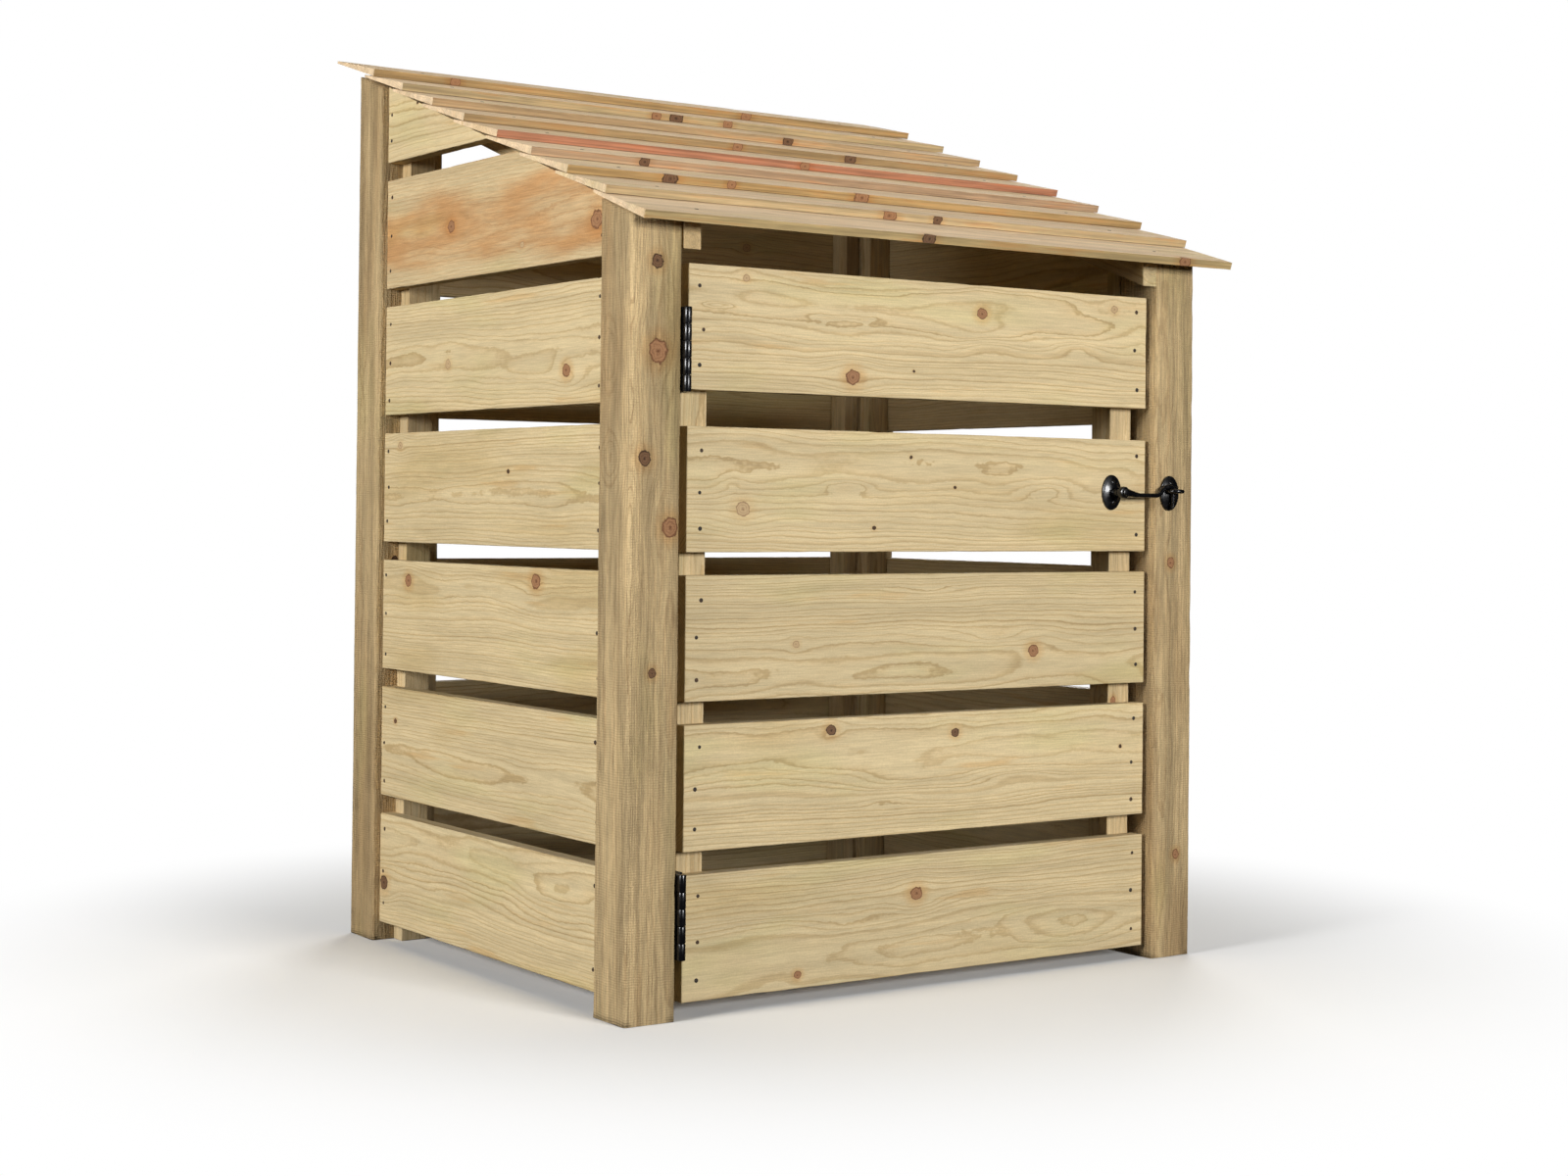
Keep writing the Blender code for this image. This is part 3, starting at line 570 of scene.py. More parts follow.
class Lie(Enum):
    """The ways a piece of timber can lie: the direction of its grain, then the direction across it."""

    DOOR = ((1, 0, 0), (0, 0, 1))
    LEFT_WALL = ((0, -1, 0), (0, 0, 1))
    RIGHT_WALL = ((0, 1, 0), (0, 0, 1))
    BACK_WALL = ((-1, 0, 0), (0, 0, 1))
    UPRIGHT = ((0, 0, 1), (-1, 0, 0))


@dataclass
class TimberPiece:
    """One length of timber, standing for one node.

    Args:
        node: the node's name.
        finish: the kind of timber.
        along: direction of the grain.
        across: direction across the width.
        knots: knots on the outer face. None leaves them to chance.
        swells: islands in the grain.
        tone: how light the piece is.
        edge: colour of the lower long edge, where it differs.
        wear: how far an arris may be worn back.
        cell: length of one cell of the mesh along the grain.
        hollow: how far the faces may sink.
    """

    node: str
    finish: TimberFinish
    along: Vector
    across: Vector
    knots: list[Knot] | None = None
    swells: list[Swell] = field(default_factory=list)
    tone: float = 1.0
    edge: Colour | None = None
    wear: float = 0.0007
    cell: float = 0.010
    hollow: float = 0.00035

    def spans(self) -> tuple[Vector, Vector, Vector]:
        """Return the node's lowest and highest reach along, across and out, and its own three directions' sizes."""
        along, across = self.along.normalized(), self.across.normalized()
        outward = along.cross(across)
        points = [vertex.co for vertex in frame["nodes"][self.node].data.vertices]
        reach = [[point.dot(direction) for point in points] for direction in (along, across, outward)]
        low = Vector([min(values) for values in reach])
        high = Vector([max(values) for values in reach])
        return low, high, high - low

    def grain(self, chance: random.Random) -> Grain:
        """Return how this piece was cut from its log."""
        along, across = self.along.normalized(), self.across.normalized()
        low, high, size = self.spans()
        middle = (low + high) / 2
        centre = along * middle.x + across * middle.y + along.cross(across) * high.z
        pith_across = chance.uniform(-0.35, 0.35) * size.y
        pith_depth = chance.uniform(0.035, 0.085) if size.y > 2 * size.z else chance.uniform(0.2, 0.8) * size.z
        return Grain(along, across, centre, size.y / 2, pith_across, pith_depth, chance.uniform(1.0, 40.0))

    def knots_by_chance(self, chance: random.Random) -> list[Knot]:
        """Return knots scattered over the face."""
        size = self.spans()[2]
        kinds = (KnotKind.LIVE, KnotKind.PALE, KnotKind.DARK, KnotKind.PIN)
        widest = min(0.0095, size.y * 0.13)
        return [Knot(chance.uniform(-0.46, 0.46) * size.x, chance.uniform(-0.38, 0.38) * size.y,
                     widest * chance.uniform(0.45, 1.0), chance.choice(kinds))
                for _ in range(chance.randint(1, 3) if size.x > 0.3 else 1)]

    def fine_mesh(self) -> bpy.types.Mesh:
        """Return the node's shape cut into cells, with a wavy surface and worn arrises that never stand proud."""
        source = frame["nodes"][self.node].data
        low, high, size = self.spans()
        along, across = self.along.normalized(), self.across.normalized()
        bm = bmesh.new()
        bm.from_mesh(source)
        bmesh.ops.remove_doubles(bm, verts=bm.verts, dist=MERGE_DISTANCE)
        bmesh.ops.dissolve_limit(bm, angle_limit=math.radians(0.5), verts=bm.verts, edges=bm.edges)
        for direction, start, length, cell in ((along, low.x, size.x, self.cell), (across, low.y, size.y, 0.018)):
            count = max(1, round(length / cell))
            for step in range(1, count):
                bmesh.ops.bisect_plane(bm, geom=bm.verts[:] + bm.edges[:] + bm.faces[:],
                                       plane_co=direction * (start + length * step / count), plane_no=direction)
        bm.normal_update()
        offset = Vector((seed_of(self.node) % 97, seed_of(self.node) % 89, seed_of(self.node) % 83))
        moves = []
        for vertex in bm.verts:
            sharpest = max((edge.calc_face_angle(0.0) for edge in vertex.link_edges), default=0.0)
            gentle = 0.5 + 0.5 * noise.noise(vertex.co * 9.0 + offset)
            depth = self.hollow * gentle
            if sharpest > math.radians(20):
                nick = 0.5 + 0.5 * noise.noise(vertex.co * 70.0 + offset)
                rare = max(0.0, noise.noise(vertex.co * 23.0 - offset) - 0.25) * 2.2
                depth += self.wear * (0.45 * nick + rare)
            moves.append(vertex.normal * -depth)
        for vertex, move in zip(bm.verts, moves):
            vertex.co += move
        bmesh.ops.triangulate(bm, faces=[face for face in bm.faces if len(face.verts) > 4])
        mesh = mesh_from("timber_" + self.node, bm)
        smooth_shade(mesh, 32)
        return mesh

    def build(self) -> bpy.types.Object:
        """Build and dress the piece."""
        chance = random.Random(seed_of(self.node))
        grain = self.grain(chance)
        knots = self.knots_by_chance(chance) if self.knots is None else self.knots
        material = TimberMaterial(self.node, self.finish, grain, knots, self.swells, self.tone, self.edge).build()
        piece = object_from("timber_" + self.node, self.fine_mesh(), material)
        stand_for(piece, self.node)
        return piece


@dataclass
class Carcass:
    """Posts, battens, rafters and walls."""

    post_knots: dict[str, list[Knot]] = field(default_factory=lambda: {
        "post_front_left": [Knot(0.405, 0.000, 0.0075, KnotKind.DARK), Knot(0.300, -0.002, 0.0120),
                            Knot(0.175, 0.015, 0.0080, KnotKind.DARK), Knot(0.095, -0.021, 0.0100),
                            Knot(-0.075, 0.002, 0.0050, KnotKind.DARK)],
        "post_front_right": [Knot(0.050, 0.005, 0.0060), Knot(-0.345, -0.008, 0.0055)],
    })
    left_wall_knots: dict[int, list[Knot]] = field(default_factory=lambda: {
        7: [Knot(-0.06, 0.02, 0.0025, KnotKind.PIN)],
        6: [Knot(-0.105, -0.005, 0.0080), Knot(0.275, -0.030, 0.0110), Knot(0.09, -0.045, 0.004, KnotKind.PALE)],
        5: [Knot(0.205, -0.033, 0.0080), Knot(-0.110, -0.012, 0.0060, KnotKind.PALE)],
        4: [Knot(-0.250, 0.057, 0.0050, KnotKind.PALE), Knot(0.06, 0.02, 0.003, KnotKind.PIN)],
        3: [Knot(-0.220, 0.048, 0.0080), Knot(0.135, 0.058, 0.0095)],
        2: [Knot(-0.255, 0.030, 0.0035, KnotKind.DARK)],
        1: [Knot(-0.285, -0.020, 0.0095, KnotKind.DARK)],
    })

    def build(self) -> list[bpy.types.Object]:
        """Build every fixed piece of timber below the roof."""
        made = []
        for node in frame["nodes"]:
            if node.startswith("post_"):
                made.append(self.upright(node, POST, self.post_knots.get(node), wear=0.0014, hollow=0.0008))
            elif "_batten_" in node:
                made.append(self.upright(node, BATTEN))
            elif node.startswith("rafter_"):
                made.append(self.rafter(node))
            elif node.startswith(("side_board_", "back_board_")):
                made.append(self.wall_board(node))
        return [piece.build() for piece in made]

    def upright(self, node: str, finish: TimberFinish, knots: list[Knot] | None = None,
                wear: float = 0.0007, hollow: float = 0.00035) -> TimberPiece:
        """Return a post or a batten."""
        along, across = (Vector(direction) for direction in Lie.UPRIGHT.value)
        return TimberPiece(node, finish, along, across, knots, wear=wear, hollow=hollow)

    def rafter(self, node: str) -> TimberPiece:
        """Return a rafter, with its grain up the slope."""
        slope = Roof.slope_direction()
        return TimberPiece(node, BATTEN, slope, Vector((0, -slope.z, slope.y)))

    def wall_board(self, node: str) -> TimberPiece:
        """Return a board of one of the three walls."""
        number = int(node.rsplit("_", 1)[1])
        if node.startswith("back_board_"):
            lie, knots = Lie.BACK_WALL, None
        elif "_left_" in node:
            lie, knots = Lie.LEFT_WALL, self.left_wall_knots[number]
        else:
            lie, knots = Lie.RIGHT_WALL, None
        along, across = (Vector(direction) for direction in lie.value)
        finish = PEACH_BOARD if node == "side_board_left_6" else BOARD
        tone = random.Random(seed_of(node) + 1).uniform(0.93, 1.0)
        return TimberPiece(node, finish, along, across, knots, tone=tone)


@dataclass
class Roof:
    """The lapped boards, each with its own colour along its front edge."""

    edges: tuple[Colour, ...] = ((0.50, 0.36, 0.165), (0.51, 0.38, 0.205), (0.45, 0.29, 0.120), (0.48, 0.32, 0.190),
                                 (0.45, 0.20, 0.110), (0.38, 0.255, 0.120), (0.48, 0.33, 0.175), (0.48, 0.36, 0.190),
                                 (0.43, 0.28, 0.120))

    @staticmethod
    def slope_direction() -> Vector:
        """Return the direction up the roof's slope, read from a rafter."""
        points = [vertex.co for vertex in frame["nodes"]["rafter_left"].data.vertices]
        low_y = min(point.y for point in points)
        high_y = max(point.y for point in points)
        front = max(point.z for point in points if point.y < low_y + 0.01)
        rear = max(point.z for point in points if point.y > high_y - 0.01)
        return Vector((0.0, high_y - low_y, rear - front)).normalized()

    def build(self) -> list[bpy.types.Object]:
        """Build the nine boards."""
        slope = self.slope_direction()
        made = []
        for number, edge in enumerate(self.edges, start=1):
            node = f"roof_board_{number}"
            chance = random.Random(seed_of(node) + 7)
            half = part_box(node)[1].x - 0.03
            knots = [Knot(chance.uniform(-half, half), -0.0620, chance.uniform(0.0055, 0.0100),
                          chance.choice((KnotKind.LIVE, KnotKind.DARK)), depth=0.005)
                     for _ in range(chance.randint(1, 3))]
            piece = TimberPiece(node, ROOF, Vector((1, 0, 0)), slope, knots, tone=chance.uniform(0.95, 1.08),
                                edge=edge, wear=0.0007, hollow=0.0002)
            made.append(piece.build())
        return made


@dataclass
class Door:
    """The door's boards and stiles."""

    knots: dict[int, list[Knot]] = field(default_factory=lambda: {
        5: [Knot(-0.125, -0.051, 0.0090), Knot(0.080, 0.038, 0.0070), Knot(0.308, 0.056, 0.0050, KnotKind.PALE),
            Knot(-0.285, 0.062, 0.0040, KnotKind.PALE), Knot(-0.030, -0.040, 0.0018, KnotKind.PIN)],
        4: [Knot(-0.287, -0.023, 0.0085, KnotKind.PALE), Knot(-0.033, 0.044, 0.0022, KnotKind.PIN),
            Knot(-0.090, -0.045, 0.0026, KnotKind.PIN), Knot(0.038, 0.007, 0.0020, KnotKind.PIN)],
        3: [Knot(0.171, -0.027, 0.0075), Knot(-0.207, -0.010, 0.0040, KnotKind.PALE)],
        2: [Knot(-0.153, 0.060, 0.0065, KnotKind.DARK), Knot(0.042, 0.049, 0.0055, KnotKind.DARK),
            Knot(0.325, 0.018, 0.0025, KnotKind.PIN)],
        1: [Knot(-0.018, 0.026, 0.0080), Knot(-0.200, -0.058, 0.0045)],
    })
    swells: dict[int, list[Swell]] = field(default_factory=lambda: {
        5: [Swell(-0.130, 0.022, 0.080, 0.0060), Swell(0.085, -0.005, 0.040, 0.0130),
            Swell(0.240, -0.002, 0.036, 0.0110, 1.8), Swell(-0.325, 0.028, 0.022, 0.0040)],
        4: [Swell(-0.305, 0.008, 0.018, 0.0100), Swell(-0.135, 0.006, 0.034, 0.0080, 1.6),
            Swell(0.195, 0.004, 0.050, 0.0120, 1.8)],
        3: [Swell(0.0, 0.052, 0.060, 0.0060), Swell(0.100, -0.010, 0.070, 0.0100)],
        2: [Swell(0.150, -0.012, 0.070, 0.0090), Swell(-0.060, -0.030, 0.050, 0.0090)],
        1: [Swell(-0.100, -0.006, 0.090, 0.0100), Swell(0.170, 0.010, 0.060, 0.0100)],
    })
    tones: tuple[float, ...] = (0.95, 1.01, 0.93, 1.0, 1.02)

    def build(self) -> list[bpy.types.Object]:
        """Build the five boards and the two stiles."""
        along, across = (Vector(direction) for direction in Lie.DOOR.value)
        made = [TimberPiece(f"door_board_{number}", BOARD, along, across, self.knots[number], self.swells[number],
                            self.tones[number - 1]).build() for number in sorted(self.knots)]
        up, sideways = (Vector(direction) for direction in Lie.UPRIGHT.value)
        for side in ("hinge", "hook"):
            made.append(TimberPiece(f"door_stile_{side}_side", BATTEN, up, sideways, tone=1.06).build())
        return made


# Ironwork

def lathe(profile: list[tuple[float, float]], sides: int) -> bmesh.types.BMesh:
    """Return a closed turned shape about Z.

    Args:
        profile: (radius, height) points from the axis, round the outside, back to the axis.
        sides: faces round the shape.

    Returns:
        A new bmesh, which the caller frees.
    """
    bm = bmesh.new()
    points = [bm.verts.new((radius, 0.0, height)) for radius, height in profile]
    edges = [bm.edges.new(pair) for pair in zip(points, points[1:])]
    bmesh.ops.spin(bm, geom=points + edges, cent=(0, 0, 0), axis=(0, 0, 1), angle=math.tau, steps=sides)
    bmesh.ops.remove_doubles(bm, verts=bm.verts, dist=MERGE_DISTANCE)
    bmesh.ops.recalc_face_normals(bm, faces=bm.faces)
    return bm


def sweep(path: list[Vector], radii: list[float], sides: int, closed: bool = False) -> bmesh.types.BMesh:
    """Return a closed round bar along a path that lies in one plane.

    Args:
        path: the centreline.
        radii: the bar's radius at each point.
        sides: faces round the bar.
        closed: True for a ring.

    Returns:
        A new bmesh, which the caller frees.
    """
    bm = bmesh.new()
    plane = (path[len(path) // 3] - path[0]).cross(path[-2] - path[0]).normalized()
    loops = []
    for index, point in enumerate(path):
        before = path[index - 1] if index or closed else point
        after = path[(index + 1) % len(path)] if index + 1 < len(path) or closed else point
        sideways = plane.cross((after - before).normalized())
        loops.append([bm.verts.new(point + (sideways * math.cos(math.tau * side / sides)
                                            + plane * math.sin(math.tau * side / sides)) * radii[index])
                      for side in range(sides)])
    pairs = list(zip(loops, loops[1:])) + ([(loops[-1], loops[0])] if closed else [])
    for first, second in pairs:
        for side in range(sides):
            following = (side + 1) % sides
            bm.faces.new((first[side], first[following], second[following], second[side]))
    if not closed:
        bm.faces.new(loops[0])
        bm.faces.new(loops[-1])
    bmesh.ops.recalc_face_normals(bm, faces=bm.faces)
    return bm


def combine(name: str, solids: list[bmesh.types.BMesh], holes: list[bmesh.types.BMesh] = ()) -> bpy.types.Mesh:
    """Return solids joined into one, with holes cut out of them. The bmeshes are freed."""
    helpers = []
    for index, bm in enumerate([*solids, *holes]):
        helpers.append(linked(f"{name}_{index}", mesh_from(f"{name}_{index}", bm)))
    body = helpers[0]
    for index, helper in enumerate(helpers[1:], start=1):
        modifier = body.modifiers.new(helper.name, "BOOLEAN")
        modifier.operation = "UNION" if index < len(solids) else "DIFFERENCE"
        modifier.solver = "EXACT"
        modifier.object = helper
    mesh = bpy.data.meshes.new_from_object(body.evaluated_get(bpy.context.evaluated_depsgraph_get()))
    for helper in helpers:
        bpy.data.objects.remove(helper, do_unlink=True)
    smooth_shade(mesh, 38)
    return mesh


def moved(bm: bmesh.types.BMesh, *matrices: Matrix) -> bmesh.types.BMesh:
    """Return a bmesh moved by each matrix in turn."""
    for matrix in matrices:
        bmesh.ops.transform(bm, matrix=matrix, verts=bm.verts)
    return bm


def rounded_rod(radius: float, length: float, easing: float, sides: int = 48) -> bmesh.types.BMesh:
    """Return a rod along Z from 0 to its length, with eased ends."""
    return lathe([(0.0, length), (radius - easing, length), (radius - easing * 0.3, length - easing * 0.3),
                  (radius, length - easing), (radius, easing), (radius - easing * 0.3, easing * 0.3),
                  (radius - easing, 0.0), (0.0, 0.0)], sides)


def eased_prism(outline: list[tuple[float, float]], foot: float, head: float, easing: float) -> bmesh.types.BMesh:
    """Return an upright prism on an outline of (x, y) points, with eased edges."""
    bm = bmesh.new()
    lower, upper = ([bm.verts.new((x, y, z)) for x, y in outline] for z in (foot, head))
    bm.faces.new(lower)
    bm.faces.new(upper)
    for index in range(len(outline)):
        following = (index + 1) % len(outline)
        bm.faces.new((lower[index], lower[following], upper[following], upper[index]))
    bmesh.ops.recalc_face_normals(bm, faces=bm.faces)
    bmesh.ops.bevel(bm, geom=bm.edges[:], offset=easing, segments=2, affect="EDGES", profile=0.5)
    return bm


@dataclass
class Hinge:
    """One butt hinge: a leaf on the post, a leaf on the door and the pin."""

    level: str
    material: bpy.types.Material
    knuckles: int = 5
    easing: float = 0.0006
    thickness: float = 0.0024
    axis_offset: float = 0.0039
    fit_gap: float = 0.0003
    return_depth: float = 0.024

    def build(self) -> list[bpy.types.Object]:
        """Build the two leaves and the pin."""
        made = []
        for leaf, numbers in (("post_leaf", (0, 2, 4)), ("door_leaf", (1, 3))):
            node = f"hinge_{self.level}_{leaf}"
            made.append(self.piece(node, self.leaf(node, numbers)))
        node = f"hinge_{self.level}_pin"
        low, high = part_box(node)
        pin = moved(rounded_rod((high.x - low.x) / 2, high.z - low.z, self.easing),
                    Matrix.Translation(((low.x + high.x) / 2, (low.y + high.y) / 2, low.z)))
        made.append(self.piece(node, combine(node, [pin])))
        return made

    def piece(self, node: str, mesh: bpy.types.Mesh) -> bpy.types.Object:
        """Return the object that shows a mesh in place of a node."""
        made = object_from("iron_" + node, mesh, self.material)
        stand_for(made, node)
        return made

    def leaf(self, node: str, numbers: tuple[int, ...]) -> bpy.types.Mesh:
        """Return a leaf with its knuckles and the bore through them."""
        axis = Vector(JOINTS["door_swing"]["pos_m"])
        whole_low, whole_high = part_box(f"hinge_{self.level}_post_leaf")
        pin_low, pin_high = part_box(f"hinge_{self.level}_pin")
        low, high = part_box(node)
        radius = axis.y - whole_low.y
        gap = 0.0002
        thickness = self.thickness
        pitch = (whole_high.z - whole_low.z) / self.knuckles
        plate_x = axis.x - self.axis_offset + (0.0 if "post" in node else thickness + self.fit_gap)
        front, rear, far_x = axis.y + radius + 2 * gap, high.y, plate_x + thickness
        outline = [(plate_x, front), (far_x, front), (far_x, rear), (plate_x, rear)]
        if "door" in node:
            crossing = rear - self.return_depth
            outline[2:] = [(far_x, crossing - thickness), (high.x, crossing - thickness), (high.x, rear),
                           (high.x - thickness, rear), (high.x - thickness, crossing), (plate_x, crossing)]
        solids = [eased_prism(outline, whole_low.z, whole_high.z, 0.0003)]
        for number in numbers:
            foot = whole_low.z + number * pitch + (gap if number else 0.0)
            head = whole_low.z + (number + 1) * pitch - (gap if number < self.knuckles - 1 else 0.0)
            solids.append(moved(rounded_rod(radius, head - foot, self.easing),
                                Matrix.Translation((axis.x, axis.y, foot))))
            web = bmesh.new()
            bmesh.ops.create_cube(web, size=1.0)
            web_high = Vector((plate_x + thickness - 0.0001, front + 0.0006, head - self.easing))
            web_low = Vector((plate_x + 0.0001, axis.y, foot + self.easing))
            solids.append(moved(web, Matrix.LocRotScale((web_low + web_high) / 2, None, web_high - web_low)))
        bore_radius = (pin_high.x - pin_low.x) / 2 + 0.0003
        bore = moved(rounded_rod(bore_radius, 0.2, 0.0001, 32),
                     Matrix.Translation((axis.x, axis.y, whole_low.z - 0.05)))
        return combine(node, solids, [bore])


@dataclass
class CabinHook:
    """The hook, its plate and stud on the door, and its plate and ring on the post."""

    material: bpy.types.Material
    dome: tuple[tuple[float, float], ...] = ((0.0, 1.0), (0.12, 0.995), (0.24, 0.965), (0.36, 0.90), (0.48, 0.81),
                                             (0.60, 0.69), (0.72, 0.55), (0.82, 0.45), (0.90, 0.41), (0.955, 0.40),
                                             (0.985, 0.34), (1.0, 0.22), (1.0, 0.04), (0.99, 0.0), (0.0, 0.0))
    dome_height: float = 0.0064
    half_height: float = 0.0235
    half_width: float = 0.0165
    eye_thickness: float = 0.0110
    wire: float = 0.0028
    ring_radius: float = 0.0095
    tip_offset: float = 0.0020
    play: float = 0.0004
    bar_radius: float = 0.0030

    def build(self) -> list[bpy.types.Object]:
        """Build the three pieces."""
        meshes = {"latch_door_plate": self.door_plate(), "latch_hook": self.hook(),
                  "latch_post_plate": self.post_plate()}
        made = []
        for node, mesh in meshes.items():
            piece = object_from("iron_" + node, mesh, self.material)
            stand_for(piece, node)
            made.append(piece)
        return made

    @property
    def stud(self) -> Vector:
        """Return the middle of the stud, where the hook turns."""
        return Vector(JOINTS["hook_lift"]["pos_m"])

    @property
    def post_back(self) -> float:
        """Return the y of the post plate's back."""
        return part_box("latch_post_plate")[1].y

    @property
    def door_back(self) -> float:
        """Return the y of the door plate's back."""
        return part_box("latch_door_plate")[1].y

    @property
    def ring_centre(self) -> Vector:
        """Return the middle of the ring."""
        low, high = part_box("latch_post_plate")
        return Vector(((low.x + high.x) / 2, low.y + self.ring_radius + self.wire, self.stud.z + 0.0025))

    def rose(self, x: float, back: float, z: float) -> bmesh.types.BMesh:
        """Return an oval domed plate."""
        bm = lathe([(radius, height * self.dome_height) for radius, height in self.dome], 72)
        return moved(bm, Matrix.Diagonal((self.half_width, self.half_height, 1.0, 1.0)),
                     Matrix.Rotation(math.pi / 2, 4, "X"), Matrix.Translation((x, back, z)))

    def rod(self, x: float, z: float, front: float, rear: float, radius: float, easing: float) -> bmesh.types.BMesh:
        """Return an eased rod along Y between two depths."""
        return moved(rounded_rod(radius, rear - front, easing), Matrix.Rotation(-math.pi / 2, 4, "X"),
                     Matrix.Translation((x, front, z)))

    def door_plate(self) -> bpy.types.Mesh:
        """Return the plate with its collar and headed stud."""
        stud, half = self.stud, self.eye_thickness / 2 + self.play
        return combine("latch_door_plate", [
            self.rose(stud.x, self.door_back, stud.z),
            self.rod(stud.x, stud.z, stud.y + half, self.door_back - 0.003, 0.0049, 0.0005),
            self.rod(stud.x, stud.z, stud.y - half - 0.001, self.door_back - 0.002, 0.0036, 0.0003),
            self.rod(stud.x, stud.z, stud.y - half - 0.0023, stud.y - half, 0.0049, 0.0010)])

    def hook(self) -> bpy.types.Mesh:
        """Return the arm: an eye, a swelling neck, and a bar that turns down into the ring."""
        stud = self.stud
        reach = self.ring_centre.x - self.tip_offset - stud.x
        over = 0.0025 + self.wire + self.bar_radius + 0.0003
        crank = reach - self.ring_radius
        corners = [(0.0063, 0.0, 0.0), (0.026, -0.0035, 0.008), (crank - 0.016, -0.0035, 0.006),
                   (crank - 0.005, over, 0.006), (reach, over, 0.006), (reach, -0.0205, 0.0)]
        path = self.rounded(corners, 8)
        radii = []
        for point in path:
            swell = 1.15 * max(0.0, 1.0 - point.x / 0.030)
            taper = 0.35 * max(0.0, -point.z / 0.0205) if point.x > reach - self.bar_radius else 0.0
            radii.append(self.bar_radius * (1.0 + swell - taper))
        bar = sweep([point + stud for point in path], radii, 24)
        half = self.eye_thickness / 2
        eye = self.rod(stud.x, stud.z, stud.y - half, stud.y + half, 0.0080, 0.0022)
        bore = self.rod(stud.x, stud.z, stud.y - 0.02, stud.y + 0.02, 0.0041, 0.0001)
        return combine("latch_hook", [eye, bar], [bore])

    @staticmethod
    def rounded(corners: list[tuple[float, float, float]], steps: int) -> list[Vector]:
        """Return the corner points, each (x, z, radius), with the inner ones turned into curves."""
        path = [Vector((corners[0][0], 0.0, corners[0][1]))]
        for before, corner, after in zip(corners, corners[1:], corners[2:]):
            middle = Vector((corner[0], 0.0, corner[1]))
            start = middle + (Vector((before[0], 0.0, before[1])) - middle).normalized() * corner[2]
            end = middle + (Vector((after[0], 0.0, after[1])) - middle).normalized() * corner[2]
            for step in range(steps + 1):
                part = step / steps
                path.append(start * (1 - part) ** 2 + middle * 2 * part * (1 - part) + end * part ** 2)
        path.append(Vector((corners[-1][0], 0.0, corners[-1][1])))
        return path

    def post_plate(self) -> bpy.types.Mesh:
        """Return the plate with its level ring."""
        centre = self.ring_centre
        turns = [math.tau * step / 48 for step in range(48)]
        circle = [centre + Vector((math.cos(turn), math.sin(turn), 0.0)) * self.ring_radius for turn in turns]
        return combine("latch_post_plate", [
            self.rose(centre.x, self.post_back, self.stud.z),
            sweep(circle, [self.wire] * len(circle), 20, closed=True)])


# Nails and screws

